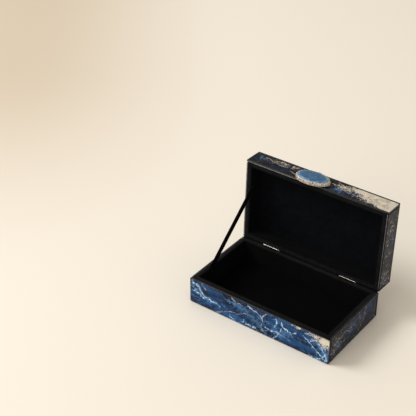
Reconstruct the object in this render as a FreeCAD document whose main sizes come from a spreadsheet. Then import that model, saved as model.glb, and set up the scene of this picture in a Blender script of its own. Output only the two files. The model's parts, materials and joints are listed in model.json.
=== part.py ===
import FreeCAD, Part
import math
import os

import Sketcher

# Jewelry gift box, standing open. A board carcass is faced outside with painted glass and
# lined inside with velvet. The lid hangs on two butt hinges along the top back edge, and a
# ribbon at the left holds it. A slab of agate on the lid's front is the finger pull.
#
# Frame: millimetres, +X to the right, the front towards -Y, +Z up. The origin is the centre
# of the felt's underside. The lid's pieces are drawn shut, and a Placement turns them open
# together about the hinges' axis.

DIMENSIONS = {
    # Whole box, shut
    "box_width": 203.2,
    "box_depth": 114.3,
    "base_height": 37.0,        # underside of the felt to the velvet on the base's rim
    "lid_height": 28.0,         # velvet on the lid's rim to the top of the glass
    "rim_gap": 0.4,             # between the two velvet rims when shut
    "open_angle": 92.0,
    # Walls, from outside in
    "glass_thick": 2.6,
    "glass_arris": 0.35,        # ground edge of each pane
    "corner_gap": 1.2,          # between a side pane and the front or back pane
    "glass_reveal": 0.4,        # the panes stop this far short of the velvet rim
    "board_thick": 4.5,
    "liner_thick": 1.6,
    "rim_lining_thick": 0.6,
    # Floors and lid top
    "felt_thick": 1.0,
    "felt_inset": 3.0,
    "bottom_board_thick": 3.0,
    "top_board_thick": 3.0,
    "floor_pad_thick": 3.0,
    "ceiling_pad_thick": 2.0,
    "pad_clearance": 0.3,
    "pad_round": 0.8,
    # Hinges
    "hinge_spread": 114.0,      # between the two hinges' middles
    "hinge_length": 22.0,
    "knuckle_count": 5.0,
    "knuckle_gap": 0.2,
    "leaf_thick": 0.5,
    "leaf_margin": 0.6,         # board left between a leaf and the liner
    "leaf_clearance": 0.1,
    "swing_clearance": 0.3,     # round whatever turns past the barrel
    "pin_radius": 0.65,
    "pin_clearance": 0.05,
    "pin_tip": 0.15,
    "screw_spacing": 15.0,
    "screw_radius": 0.5,
    "screw_head_radius": 1.0,
    "screw_length": 5.0,
    "screw_clearance": 0.05,
    # Finger pull
    "pull_offset": -9.0,        # middle of the stone, from the box's middle
    "pull_rise": 7.5,           # middle of the stone, above the lid's rim
    "stone_half_width": 20.5,
    "stone_half_height": 12.0,
    "rind_width": 3.4,
    "stone_thick": 5.4,
    "plate_thick": 1.0,
    "plate_width": 26.0,
    "plate_height": 14.0,
    "plate_rise": 10.0,         # middle of the plate, above the lid's rim
    "stud_spacing": 16.0,
    "stud_radius": 1.0,
    "stud_hole_clearance": 0.2,
    "nut_thick": 1.6,
    "nut_radius": 2.2,          # across the corners
    "nut_pocket_clearance": 0.4,
    "nut_clearance": 0.05,
    # Ribbon stay, in the plane of the left liner
    "ribbon_width": 10.0,
    "ribbon_thick": 0.5,
    "ribbon_base_room": 17.4,   # front liner to the slit in the base
    "ribbon_base_drop": 6.2,    # hinges' axis down to that slit
    "ribbon_lid_room": 29.6,    # front liner to the slit in the lid
    "ribbon_lid_rise": 5.6,     # hinges' axis up to that slit, shut
    "slit_clearance": 0.25,
}

SKETCH_ORIGIN = -1      # Sketcher's number for its own origin point
START_POINT = 1
END_POINT = 2
CENTRE_POINT = 3

doc = FreeCAD.newDocument("jewelry_gift_box")
sheet = doc.addObject("Spreadsheet::Sheet", "dims")
for row, (alias, size) in enumerate(DIMENSIONS.items(), start=1):
    sheet.set(f"A{row}", alias)
    sheet.set(f"B{row}", str(size))
    sheet.setAlias(f"B{row}", alias)
doc.recompute()

# Derived places, as expressions over the sheet. Those that end in _X or _Y are distances
# from the box's middle planes, so that minus one is the mirrored place.
HALF_X = "dims.box_width / 2"
HALF_Y = "dims.box_depth / 2"
BOARD_X = "(dims.box_width / 2 - dims.glass_thick)"
BOARD_Y = "(dims.box_depth / 2 - dims.glass_thick)"
LINER_X = f"({BOARD_X} - dims.board_thick)"
LINER_Y = f"({BOARD_Y} - dims.board_thick)"
INSIDE_X = f"({LINER_X} - dims.liner_thick)"
INSIDE_Y = f"({LINER_Y} - dims.liner_thick)"

FELT_TOP = "dims.felt_thick"
BOTTOM_TOP = f"({FELT_TOP} + dims.bottom_board_thick)"
BASE_RIM = "dims.base_height"
BASE_BOARD_TOP = f"({BASE_RIM} - dims.rim_lining_thick)"
BASE_GLASS_TOP = f"({BASE_RIM} - dims.glass_reveal)"
LID_RIM = f"({BASE_RIM} + dims.rim_gap)"
LID_BOARD_LOW = f"({LID_RIM} + dims.rim_lining_thick)"
LID_GLASS_LOW = f"({LID_RIM} + dims.glass_reveal)"
LID_TOP = f"({LID_RIM} + dims.lid_height)"
TOP_GLASS_LOW = f"({LID_TOP} - dims.glass_thick)"
CEILING = f"({TOP_GLASS_LOW} - dims.top_board_thick)"

# The hinges' axis runs along the back edge, halfway between the two rims. The barrel is as
# thick as brings each leaf flush with its board under the velvet.
AXIS_Y = HALF_Y
AXIS_Z = f"({BASE_RIM} + dims.rim_gap / 2)"
BARREL_RADIUS = "(dims.rim_gap / 2 + dims.rim_lining_thick + dims.leaf_thick)"
KNUCKLE = "((dims.hinge_length - (dims.knuckle_count - 1) * dims.knuckle_gap) / dims.knuckle_count)"
KNUCKLE_PITCH = f"({KNUCKLE} + dims.knuckle_gap)"
LEAF_INNER = f"({LINER_Y} + dims.leaf_margin)"
LEAF_OUTER = f"({AXIS_Y} - {BARREL_RADIUS} - dims.swing_clearance)"
SCREW_LINE = f"({BOARD_Y} - dims.board_thick / 2)"

PULL_Z = f"({LID_RIM} + dims.pull_rise)"
PLATE_Z = f"({LID_RIM} + dims.plate_rise)"
PLATE_FRONT = f"({HALF_Y} + dims.plate_thick)"
STUD_PLACES = [f"(dims.pull_offset {sign} dims.stud_spacing / 2)" for sign in "-+"]

HINGE_CENTRES = {"left": "(-dims.hinge_spread / 2)", "right": "(dims.hinge_spread / 2)"}

node_objects = []


def value_of(expression):
    """Give the number that an expression over the sheet stands for."""
    return float(sheet.evalExpression(expression))


# ---------------------------------------------------------------- building blocks

def new_body(name):
    """Start a PartDesign body whose label is the node's name."""
    body = doc.addObject("PartDesign::Body", name)
    body.Label = name
    node_objects.append(body)
    return body


def origin_feature(body, role):
    """Find one of the body's own origin planes or axes."""
    return next(item for item in body.Origin.OriginFeatures if item.Role == role)


def new_sketch(body, name, plane, offset):
    """Attach a sketch to an origin plane of the body, moved along the plane's normal."""
    sketch = body.newObject("Sketcher::SketchObject", name)
    sketch.AttachmentSupport = [(origin_feature(body, plane), "")]
    sketch.MapMode = "FlatFace"
    sketch.setExpression("AttachmentOffset.Base.z", offset)
    return sketch


def drive(sketch, kind, element, point, expression):
    """Hold one coordinate of a point at an expression's value."""
    rule = Sketcher.Constraint(
        kind, SKETCH_ORIGIN, START_POINT, element, point, value_of(expression)
    )
    number = sketch.addConstraint(rule)
    sketch.setExpression(f"Constraints[{number}]", expression)


def draw_polygon(sketch, corners):
    """Draw a closed outline through corners given as pairs of expressions."""
    places = [FreeCAD.Vector(value_of(u), value_of(v), 0) for u, v in corners]
    count = len(corners)
    first = sketch.GeometryCount
    for index, place in enumerate(places):
        sketch.addGeometry(Part.LineSegment(place, places[(index + 1) % count]), False)
    for index, (u, v) in enumerate(corners):
        line = first + index
        following = first + (index + 1) % count
        rule = Sketcher.Constraint("Coincident", line, END_POINT, following, START_POINT)
        sketch.addConstraint(rule)
        drive(sketch, "DistanceX", line, START_POINT, u)
        drive(sketch, "DistanceY", line, START_POINT, v)


def draw_rectangle(sketch, u_low, u_high, v_low, v_high):
    """Draw an upright rectangle between four expressions."""
    draw_polygon(
        sketch, [(u_low, v_low), (u_high, v_low), (u_high, v_high), (u_low, v_high)]
    )


def draw_circle(sketch, u, v, radius):
    """Draw a circle whose centre and radius are expressions."""
    centre = FreeCAD.Vector(value_of(u), value_of(v), 0)
    circle = sketch.addGeometry(
        Part.Circle(centre, FreeCAD.Vector(0, 0, 1), value_of(radius)), False
    )
    drive(sketch, "DistanceX", circle, CENTRE_POINT, u)
    drive(sketch, "DistanceY", circle, CENTRE_POINT, v)
    number = sketch.addConstraint(Sketcher.Constraint("Radius", circle, value_of(radius)))
    sketch.setExpression(f"Constraints[{number}]", radius)


def add_feature(body, kind, name, sketch):
    """Add a feature made from a sketch, and make it the body's result."""
    feature = body.newObject(f"PartDesign::{kind}", name)
    feature.Profile = sketch
    body.Tip = feature
    return feature


def add_pad(body, name, sketch, length):
    """Raise a sketch along its normal by an expression's length."""
    pad = add_feature(body, "Pad", name, sketch)
    pad.setExpression("Length", length)
    return pad


def add_block(body, name, x_low, x_high, y_low, y_high, z_low, z_high):
    """Add a rectangular block, drawn in plan and raised between two heights."""
    sketch = new_sketch(body, f"{name}_plan", "XY_Plane", z_low)
    draw_rectangle(sketch, x_low, x_high, y_low, y_high)
    return add_pad(body, name, sketch, f"{z_high} - {z_low}")


def cut_block(body, name, x_low, x_high, y_low, y_high, z_low, z_high):
    """Cut a rectangular block downwards from its upper height."""
    sketch = new_sketch(body, f"{name}_plan", "XY_Plane", z_high)
    draw_rectangle(sketch, x_low, x_high, y_low, y_high)
    pocket = add_feature(body, "Pocket", name, sketch)
    pocket.setExpression("Length", f"{z_high} - {z_low}")
    return pocket


def cut_through(body, name, sketch):
    """Cut a sketch right through the body, both ways from its plane."""
    pocket = add_feature(body, "Pocket", name, sketch)
    pocket.Type = "ThroughAll"
    pocket.Midplane = True
    return pocket


def ease_edges(body, kind, name, size_property, size):
    """Chamfer or fillet every edge of the body so far."""
    base = body.Tip
    feature = body.newObject(f"PartDesign::{kind}", name)
    feature.Base = (base, ["Edge1"])
    feature.UseAllEdges = True
    feature.setExpression(size_property, size)
    body.Tip = feature


def repeat_along_x(body, name, originals, pitch, count):
    """Repeat features along the body's X axis at a pitch."""
    pattern = body.newObject("PartDesign::LinearPattern", name)
    pattern.Originals = originals
    pattern.Direction = (origin_feature(body, "X_Axis"), [""])
    pattern.setExpression("Occurrences", count)
    pattern.setExpression("Length", f"({count} - 1) * {pitch}")
    body.Tip = pattern


def hang_open(piece):
    """Turn a piece of the lid, drawn shut, open about the hinges' axis."""
    piece.Placement = FreeCAD.Placement(
        FreeCAD.Vector(0, 0, 0), FreeCAD.Rotation(FreeCAD.Vector(1, 0, 0), 1)
    )
    turned_y = f"({AXIS_Y} * cos(dims.open_angle) + {AXIS_Z} * sin(dims.open_angle))"
    turned_z = f"({AXIS_Z} * cos(dims.open_angle) - {AXIS_Y} * sin(dims.open_angle))"
    piece.setExpression("Placement.Rotation.Angle", "-dims.open_angle")
    piece.setExpression("Placement.Base.y", f"{AXIS_Y} - {turned_y}")
    piece.setExpression("Placement.Base.z", f"{AXIS_Z} - {turned_z}")


def wall_places(half_x, half_y, inner_x, inner_y, side_end):
    """Give the plan of four walls: front and back full width, sides between them."""
    return {
        "front": (f"-{half_x}", half_x, f"-{half_y}", f"-{inner_y}"),
        "back": (f"-{half_x}", half_x, inner_y, half_y),
        "left": (f"-{half_x}", f"-{inner_x}", f"-{side_end}", side_end),
        "right": (inner_x, half_x, f"-{side_end}", side_end),
    }


# ---------------------------------------------------------------- carcass boards

BOARD_PLACES = wall_places(BOARD_X, BOARD_Y, LINER_X, LINER_Y, LINER_Y)


def cut_hinge_seats(body, board_edge, inward):
    """Cut the leaf mortises and the screws' pilot holes into a back board.

    board_edge is the height of the board's rim, and inward is "+" or "-", the way
    into the board from there.
    """
    deep_edge = f"({board_edge} {inward} dims.leaf_thick)"
    screw_end = f"({board_edge} {inward} dims.screw_length {inward} dims.screw_radius)"
    if inward == "-":
        mortise_low, mortise_high = deep_edge, board_edge
        pilot_start = board_edge
    else:
        mortise_low, mortise_high = board_edge, deep_edge
        pilot_start = screw_end
    for side, centre in HINGE_CENTRES.items():
        reach = "(dims.hinge_length / 2 + dims.leaf_clearance)"
        cut_block(
            body, f"{body.Label}_{side}_mortise",
            f"{centre} - {reach}", f"{centre} + {reach}",
            f"{LEAF_INNER} - dims.leaf_clearance", f"{BOARD_Y} + dims.leaf_clearance",
            mortise_low, mortise_high,
        )
        pilots = new_sketch(body, f"{body.Label}_{side}_pilot_plan", "XY_Plane", pilot_start)
        for sign in "-+":
            draw_circle(
                pilots, f"{centre} {sign} dims.screw_spacing / 2", SCREW_LINE,
                "(dims.screw_radius + dims.screw_clearance)",
            )
        pocket = add_feature(body, "Pocket", f"{body.Label}_{side}_pilots", pilots)
        pocket.setExpression("Length", "dims.screw_length + dims.screw_radius")


def cut_stud_holes(body, name, clearance):
    """Bore the two holes that the pull's studs pass through."""
    sketch = new_sketch(body, f"{name}_plan", "XZ_Plane", "0")
    for place in STUD_PLACES:
        draw_circle(sketch, place, PLATE_Z, f"(dims.stud_radius + {clearance})")
    cut_through(body, name, sketch)


def make_boards():
    """Make the board carcass of the base and of the lid."""
    bottom = new_body("base_bottom_board")
    add_block(
        bottom, "bottom_panel", f"-{LINER_X}", LINER_X, f"-{LINER_Y}", LINER_Y,
        FELT_TOP, BOTTOM_TOP,
    )
    for side, plan in BOARD_PLACES.items():
        board = new_body(f"base_{side}_board")
        add_block(board, f"base_{side}_panel", *plan, FELT_TOP, BASE_BOARD_TOP)
        if side == "back":
            cut_hinge_seats(board, BASE_BOARD_TOP, "-")
    top = new_body("lid_top_board")
    add_block(
        top, "top_panel", f"-{BOARD_X}", BOARD_X, f"-{BOARD_Y}", BOARD_Y,
        CEILING, TOP_GLASS_LOW,
    )
    hang_open(top)
    for side, plan in BOARD_PLACES.items():
        board = new_body(f"lid_{side}_board")
        add_block(board, f"lid_{side}_panel", *plan, LID_BOARD_LOW, CEILING)
        if side == "back":
            cut_hinge_seats(board, LID_BOARD_LOW, "+")
        if side == "front":
            cut_stud_holes(board, "lid_front_board_stud_holes", "dims.stud_hole_clearance")
            cut_nut_pockets(board)
        hang_open(board)


def cut_nut_pockets(board):
    """Sink round pockets for the stud nuts into the front board's inner face."""
    sketch = new_sketch(board, "nut_pocket_plan", "XZ_Plane", LINER_Y)
    for place in STUD_PLACES:
        draw_circle(
            sketch, place, PLATE_Z, "(dims.nut_radius + dims.nut_pocket_clearance)"
        )
    pocket = add_feature(board, "Pocket", "nut_pockets", sketch)
    pocket.Reversed = True
    pocket.setExpression("Length", "dims.nut_thick + dims.nut_pocket_clearance")


# ---------------------------------------------------------------- glass facings

PANE_SIDE_END = f"({BOARD_Y} - dims.corner_gap)"
PANE_PLACES = wall_places(HALF_X, HALF_Y, BOARD_X, BOARD_Y, PANE_SIDE_END)
NOTCH_LOW = f"({AXIS_Z} - {BARREL_RADIUS} - dims.swing_clearance)"
NOTCH_HIGH = f"({AXIS_Z} + {BARREL_RADIUS} + dims.swing_clearance)"


def notch_for_hinges(pane):
    """Cut back a pane's rim where the barrels lie."""
    for side, centre in HINGE_CENTRES.items():
        reach = "(dims.hinge_length / 2 + dims.swing_clearance)"
        cut_block(
            pane, f"{pane.Label}_{side}_notch",
            f"{centre} - {reach}", f"{centre} + {reach}",
            f"{BOARD_Y} - dims.glass_thick", f"{HALF_Y} + dims.glass_thick",
            NOTCH_LOW, NOTCH_HIGH,
        )


def make_panes():
    """Make the painted glass of the base and of the lid."""
    for side, plan in PANE_PLACES.items():
        for half, low, high in (
            ("base", FELT_TOP, BASE_GLASS_TOP), ("lid", LID_GLASS_LOW, TOP_GLASS_LOW)
        ):
            pane = new_body(f"{half}_{side}_glass")
            add_block(pane, f"{half}_{side}_pane", *plan, low, high)
            ease_edges(pane, "Chamfer", f"{half}_{side}_arris", "Size", "dims.glass_arris")
            if side == "back":
                notch_for_hinges(pane)
            if half == "lid" and side == "front":
                cut_stud_holes(pane, "lid_front_glass_stud_holes", "dims.stud_hole_clearance")
            if half == "lid":
                hang_open(pane)
    top = new_body("lid_top_glass")
    add_block(top, "top_pane", f"-{HALF_X}", HALF_X, f"-{HALF_Y}", HALF_Y, TOP_GLASS_LOW, LID_TOP)
    ease_edges(top, "Chamfer", "top_arris", "Size", "dims.glass_arris")
    hang_open(top)


# ---------------------------------------------------------------- velvet linings

LINER_PLACES = wall_places(LINER_X, LINER_Y, INSIDE_X, INSIDE_Y, INSIDE_Y)

# The open ribbon runs straight between its two slits. Its slope is an angle above +Y.
BASE_SLIT_Y = f"(dims.ribbon_base_room - {INSIDE_Y})"
BASE_SLIT_Z = f"({AXIS_Z} - dims.ribbon_base_drop)"
LID_SLIT_Y = f"(dims.ribbon_lid_room - {INSIDE_Y})"
LID_SLIT_Z = f"({AXIS_Z} + dims.ribbon_lid_rise)"
BASE_REACH = f"({AXIS_Y} - {BASE_SLIT_Y})"
LID_REACH = f"({AXIS_Y} - {LID_SLIT_Y})"
RUN_Y = (
    f"({BASE_REACH} - {LID_REACH} * cos(dims.open_angle)"
    " + dims.ribbon_lid_rise * sin(dims.open_angle))"
)
RUN_Z = (
    f"(dims.ribbon_base_drop + {LID_REACH} * sin(dims.open_angle)"
    " + dims.ribbon_lid_rise * cos(dims.open_angle))"
)
RIBBON_SLOPE = f"atan({RUN_Z} / {RUN_Y})"
RIBBON_RUN = f"sqrt({RUN_Y} * {RUN_Y} + {RUN_Z} * {RUN_Z})"


def cut_ribbon_slit(liner, centre_y, centre_z, slope):
    """Cut the slit that the ribbon's end passes through, square to the ribbon."""
    sketch = new_sketch(liner, f"{liner.Label}_slit_plan", "YZ_Plane", "0")
    half_long = "(dims.ribbon_width / 2 + dims.slit_clearance)"
    half_short = "(dims.ribbon_thick / 2 + dims.slit_clearance)"
    corners = []
    for along, across in (("-", "-"), ("+", "-"), ("+", "+"), ("-", "+")):
        corners.append((
            f"{centre_y} {along} {half_short} * cos({slope}) - (0 {across} {half_long}) * sin({slope})",
            f"{centre_z} {along} {half_short} * sin({slope}) + (0 {across} {half_long}) * cos({slope})",
        ))
    draw_polygon(sketch, corners)
    cut_through(liner, f"{liner.Label}_slit", sketch)


def make_linings():
    """Make the velvet-covered card, the rim strips, the pads and the felt."""
    for half, low, high in (("base", BOTTOM_TOP, BASE_RIM), ("lid", LID_RIM, CEILING)):
        for side, plan in LINER_PLACES.items():
            liner = new_body(f"{half}_{side}_liner")
            add_block(liner, f"{half}_{side}_card", *plan, low, high)
            if (half, side) == ("base", "left"):
                cut_ribbon_slit(liner, BASE_SLIT_Y, BASE_SLIT_Z, RIBBON_SLOPE)
            if (half, side) == ("lid", "left"):
                shut_slope = f"({RIBBON_SLOPE} + dims.open_angle * 1 deg)"
                cut_ribbon_slit(liner, LID_SLIT_Y, LID_SLIT_Z, shut_slope)
            if half == "lid":
                hang_open(liner)
    for half, low, high in (
        ("base", BASE_BOARD_TOP, BASE_RIM), ("lid", LID_RIM, LID_BOARD_LOW)
    ):
        strip = new_body(f"{half}_rim_lining")
        sketch = new_sketch(strip, f"{half}_rim_plan", "XY_Plane", low)
        draw_rectangle(sketch, f"-{BOARD_X}", BOARD_X, f"-{BOARD_Y}", BOARD_Y)
        draw_rectangle(sketch, f"-{LINER_X}", LINER_X, f"-{LINER_Y}", LINER_Y)
        add_pad(strip, f"{half}_rim_strip", sketch, f"{high} - {low}")
        if half == "lid":
            hang_open(strip)
    pad_x = f"({INSIDE_X} - dims.pad_clearance)"
    pad_y = f"({INSIDE_Y} - dims.pad_clearance)"
    for name, low, high in (
        ("base_floor_pad", BOTTOM_TOP, f"({BOTTOM_TOP} + dims.floor_pad_thick)"),
        ("lid_ceiling_pad", f"({CEILING} - dims.ceiling_pad_thick)", CEILING),
    ):
        pad = new_body(name)
        add_block(pad, f"{name}_block", f"-{pad_x}", pad_x, f"-{pad_y}", pad_y, low, high)
        ease_edges(pad, "Fillet", f"{name}_round", "Radius", "dims.pad_round")
        if name.startswith("lid"):
            hang_open(pad)
    felt = new_body("base_felt")
    felt_x = f"({HALF_X} - dims.felt_inset)"
    felt_y = f"({HALF_Y} - dims.felt_inset)"
    add_block(felt, "felt_sheet", f"-{felt_x}", felt_x, f"-{felt_y}", felt_y, "0", FELT_TOP)


# ---------------------------------------------------------------- hinges

def make_leaf(name, centre, inward, first_knuckle, knuckles):
    """Make one leaf with its share of the knuckles.

    inward is "-" for the base's leaf, which lies below the axis, and "+" for the lid's.
    """
    leaf = new_body(name)
    far_face = f"({AXIS_Z} {inward} {BARREL_RADIUS})"
    near_face = f"({AXIS_Z} {inward} ({BARREL_RADIUS} - dims.leaf_thick))"
    low, high = (far_face, near_face) if inward == "-" else (near_face, far_face)
    left_end = f"({centre} - dims.hinge_length / 2)"
    add_block(
        leaf, f"{name}_plate", left_end, f"{centre} + dims.hinge_length / 2",
        LEAF_INNER, LEAF_OUTER, low, high,
    )
    start = f"({left_end} + {first_knuckle} * {KNUCKLE_PITCH})"
    tongue = add_block(
        leaf, f"{name}_tongue", start, f"{start} + {KNUCKLE}",
        f"{LEAF_OUTER} - dims.leaf_thick", AXIS_Y, low, high,
    )
    round_plan = new_sketch(leaf, f"{name}_knuckle_plan", "YZ_Plane", start)
    draw_circle(round_plan, AXIS_Y, AXIS_Z, BARREL_RADIUS)
    knuckle = add_pad(leaf, f"{name}_knuckle", round_plan, KNUCKLE)
    repeat_along_x(
        leaf, f"{name}_knuckles", [tongue, knuckle], f"2 * {KNUCKLE_PITCH}", knuckles
    )
    bore_plan = new_sketch(leaf, f"{name}_bore_plan", "YZ_Plane", "0")
    draw_circle(bore_plan, AXIS_Y, AXIS_Z, "(dims.pin_radius + dims.pin_clearance)")
    cut_through(leaf, f"{name}_bore", bore_plan)
    hole_plan = new_sketch(leaf, f"{name}_hole_plan", "XY_Plane", near_face)
    for sign in "-+":
        draw_circle(
            hole_plan, f"{centre} {sign} dims.screw_spacing / 2", SCREW_LINE,
            "dims.screw_radius",
        )
    doc.recompute()
    holes = add_feature(leaf, "Hole", f"{name}_screw_holes", hole_plan)
    doc.recompute()
    holes.Reversed = inward == "+"
    holes.ThreadType = "None"
    holes.DepthType = "ThroughAll"
    holes.HoleCutType = "Countersink"
    holes.HoleCutCountersinkAngle = 90
    holes.setExpression("Diameter", "2 * (dims.screw_radius + dims.screw_clearance)")
    holes.setExpression(
        "HoleCutDiameter", "2 * (dims.screw_head_radius + dims.screw_clearance)"
    )
    return leaf


def make_screws(name, centre, inward):
    """Make a leaf's two countersunk wood screws, as separate solids in one body."""
    screws = new_body(name)
    screws.AllowCompound = True
    profile = screws.newObject("Sketcher::SketchObject", f"{name}_profile")
    profile.AttachmentSupport = [(origin_feature(screws, "XZ_Plane"), "")]
    profile.MapMode = "FlatFace"
    near_face = f"({AXIS_Z} {inward} ({BARREL_RADIUS} - dims.leaf_thick))"
    profile.setExpression("AttachmentOffset.Base.x", f"{centre} - dims.screw_spacing / 2")
    profile.setExpression("AttachmentOffset.Base.y", near_face)
    profile.setExpression("AttachmentOffset.Base.z", f"-{SCREW_LINE}")
    head_depth = "(dims.screw_head_radius - dims.screw_radius)"
    draw_polygon(profile, [
        ("0", "0"),
        ("dims.screw_head_radius", "0"),
        ("dims.screw_radius", f"0 {inward} {head_depth}"),
        ("dims.screw_radius", f"0 {inward} (dims.screw_length - dims.screw_radius)"),
        ("0", f"0 {inward} dims.screw_length"),
    ])
    turned = add_feature(screws, "Revolution", f"{name}_turned", profile)
    turned.ReferenceAxis = (profile, ["V_Axis"])
    turned.Angle = 360
    repeat_along_x(screws, f"{name}_pair", [turned], "dims.screw_spacing", "2")
    return screws


def make_hinges():
    """Make both butt hinges, each with two leaves, a pin and its screws."""
    for side, centre in HINGE_CENTRES.items():
        make_leaf(
            f"hinge_{side}_base_leaf", centre, "-", 0, "(dims.knuckle_count + 1) / 2"
        )
        lid_leaf = make_leaf(
            f"hinge_{side}_lid_leaf", centre, "+", 1, "(dims.knuckle_count - 1) / 2"
        )
        hang_open(lid_leaf)
        pin = new_body(f"hinge_{side}_pin")
        plan = new_sketch(
            pin, f"{side}_pin_plan", "YZ_Plane", f"{centre} - dims.hinge_length / 2"
        )
        draw_circle(plan, AXIS_Y, AXIS_Z, "dims.pin_radius")
        add_pad(pin, f"{side}_pin_shaft", plan, "dims.hinge_length")
        ease_edges(pin, "Chamfer", f"{side}_pin_tips", "Size", "dims.pin_tip")
        make_screws(f"hinge_{side}_base_screws", centre, "-")
        hang_open(make_screws(f"hinge_{side}_lid_screws", centre, "+"))


# ---------------------------------------------------------------- finger pull

STONE_POINTS = 28
# Slow waves round the stone's outline: how many, how deep as a share, and their phase
STONE_WAVES = ((2, 0.010, 0.4), (3, 0.022, 1.9), (5, 0.012, 0.7))
RIND_WAVES = STONE_WAVES + ((9, 0.012, 2.2), (13, 0.009, 0.3))


def stone_outline(half_width, half_height, waves, depth):
    """Give a closed, slightly uneven oval, standing this far in front of the glass."""
    points = []
    for index in range(STONE_POINTS):
        turn = 2 * math.pi * index / STONE_POINTS
        swell = 1 + sum(share * math.sin(count * turn + phase) for count, share, phase in waves)
        points.append(FreeCAD.Vector(
            value_of("dims.pull_offset") + half_width * swell * math.cos(turn),
            -value_of(PLATE_FRONT) - depth,
            value_of(PULL_Z) + half_height * swell * math.sin(turn),
        ))
    curve = Part.BSplineCurve()
    curve.interpolate(points, PeriodicFlag=True)
    return Part.Wire([curve.toShape()])


def lofted_stone(layers, waves):
    """Loft a solid through outlines given as (growth beyond the face, depth)."""
    face_width = value_of("dims.stone_half_width")
    face_height = value_of("dims.stone_half_height")
    outlines = [
        stone_outline(face_width + growth, face_height + growth, waves, depth)
        for growth, depth in layers
    ]
    return Part.makeLoft(outlines, True, False)


def add_stone(name, shape):
    """Put a shaped stone on the lid as a node."""
    stone = doc.addObject("Part::Feature", name)
    stone.Label = name
    stone.Shape = shape
    hang_open(stone)
    node_objects.append(stone)


def make_pull():
    """Make the agate slab with its gilded rind, its plate with studs, and the nuts."""
    thick = value_of("dims.stone_thick")
    rind = value_of("dims.rind_width")
    slab = lofted_stone(((0.30 * rind, 0.0), (0.15 * rind, 0.6 * thick), (0.0, thick)), STONE_WAVES)
    blank = lofted_stone(
        ((0.75 * rind, 0.0), (rind, 0.35 * thick), (0.70 * rind, 0.85 * thick)), RIND_WAVES
    )
    add_stone("agate_slice", slab)
    add_stone("agate_gilt_rind", blank.cut(slab))

    plate = new_body("agate_mount_plate")
    plan = new_sketch(plate, "plate_plan", "XZ_Plane", HALF_Y)
    half_width = "dims.plate_width / 2"
    half_height = "dims.plate_height / 2"
    draw_rectangle(
        plan, f"dims.pull_offset - {half_width}", f"dims.pull_offset + {half_width}",
        f"{PLATE_Z} - {half_height}", f"{PLATE_Z} + {half_height}",
    )
    add_pad(plate, "plate_sheet", plan, "dims.plate_thick")
    stud_plan = new_sketch(plate, "stud_plan", "XZ_Plane", HALF_Y)
    for place in STUD_PLACES:
        draw_circle(stud_plan, place, PLATE_Z, "dims.stud_radius")
    studs = add_pad(
        plate, "studs", stud_plan, "dims.glass_thick + dims.board_thick - dims.nut_pocket_clearance"
    )
    studs.Reversed = True
    hang_open(plate)

    nuts = new_body("agate_stud_nuts")
    nuts.AllowCompound = True
    nut_face = f"({LINER_Y} + dims.nut_pocket_clearance)"
    nut_plan = new_sketch(nuts, "nut_plan", "XZ_Plane", nut_face)
    for place in STUD_PLACES:
        draw_polygon(nut_plan, [
            (
                f"{place} + dims.nut_radius * cos({60 * corner})",
                f"{PLATE_Z} + dims.nut_radius * sin({60 * corner})",
            )
            for corner in range(6)
        ])
        draw_circle(nut_plan, place, PLATE_Z, "(dims.stud_radius + dims.nut_clearance)")
    add_pad(nuts, "nut_blanks", nut_plan, "dims.nut_thick")
    hang_open(nuts)


# ---------------------------------------------------------------- ribbon stay

def make_ribbon():
    """Make the taut ribbon: a strip along the left liners with its ends through the slits."""
    ribbon = new_body("stay_ribbon")
    profile = ribbon.newObject("Sketcher::SketchObject", "ribbon_profile")
    profile.AttachmentSupport = [(origin_feature(ribbon, "XY_Plane"), "")]
    profile.MapMode = "FlatFace"
    profile.AttachmentOffset = FreeCAD.Placement(
        FreeCAD.Vector(0, 0, 0), FreeCAD.Rotation(FreeCAD.Vector(1, 0, 0), 1)
    )
    profile.setExpression("AttachmentOffset.Rotation.Angle", RIBBON_SLOPE)
    profile.setExpression("AttachmentOffset.Base.y", BASE_SLIT_Y)
    profile.setExpression("AttachmentOffset.Base.z", BASE_SLIT_Z)
    half = "dims.ribbon_thick / 2"
    buried = f"-{LINER_X}"
    against_liner = f"-{INSIDE_X}"
    inner_face = f"(dims.ribbon_thick - {INSIDE_X})"
    draw_polygon(profile, [
        (buried, f"0 - {half}"),
        (inner_face, f"0 - {half}"),
        (inner_face, f"{RIBBON_RUN} + {half}"),
        (buried, f"{RIBBON_RUN} + {half}"),
        (buried, f"{RIBBON_RUN} - {half}"),
        (against_liner, f"{RIBBON_RUN} - {half}"),
        (against_liner, half),
        (buried, half),
    ])
    strip = add_pad(ribbon, "ribbon_strip", profile, "dims.ribbon_width")
    strip.Midplane = True


# ---------------------------------------------------------------- checks and export

def check_document():
    """Stop if an object failed, a sub-part is empty or a cut removed nothing."""
    for item in doc.Objects:
        if {"Invalid", "Error"} & set(item.State):
            raise RuntimeError(f"{item.Label} failed: {item.State}")
        if item.TypeId in ("PartDesign::Pocket", "PartDesign::Hole"):
            before = item.BaseFeature.Shape.Volume
            if item.Shape.Volume > before - 1e-6:
                raise RuntimeError(f"{item.Label} cuts nothing")
    for node in node_objects:
        if node.Shape.isNull() or not node.Shape.isValid():
            raise RuntimeError(f"{node.Label} has no valid shape")


def export_nodes():
    """Write each sub-part to a file named after its node."""
    os.makedirs("parts", exist_ok=True)
    for node in node_objects:
        node.Shape.exportStep(f"parts/{node.Label}.step")


make_boards()
make_panes()
make_linings()
make_hinges()
make_pull()
make_ribbon()
doc.recompute()
check_document()
export_nodes()
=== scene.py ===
"""The jewelry gift box's finished look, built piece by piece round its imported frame."""

from __future__ import annotations

import json
import logging
import math
import random
from dataclasses import dataclass, field
from enum import Enum

import bmesh
import bpy
import numpy as np
from mathutils import Matrix, Vector

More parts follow.
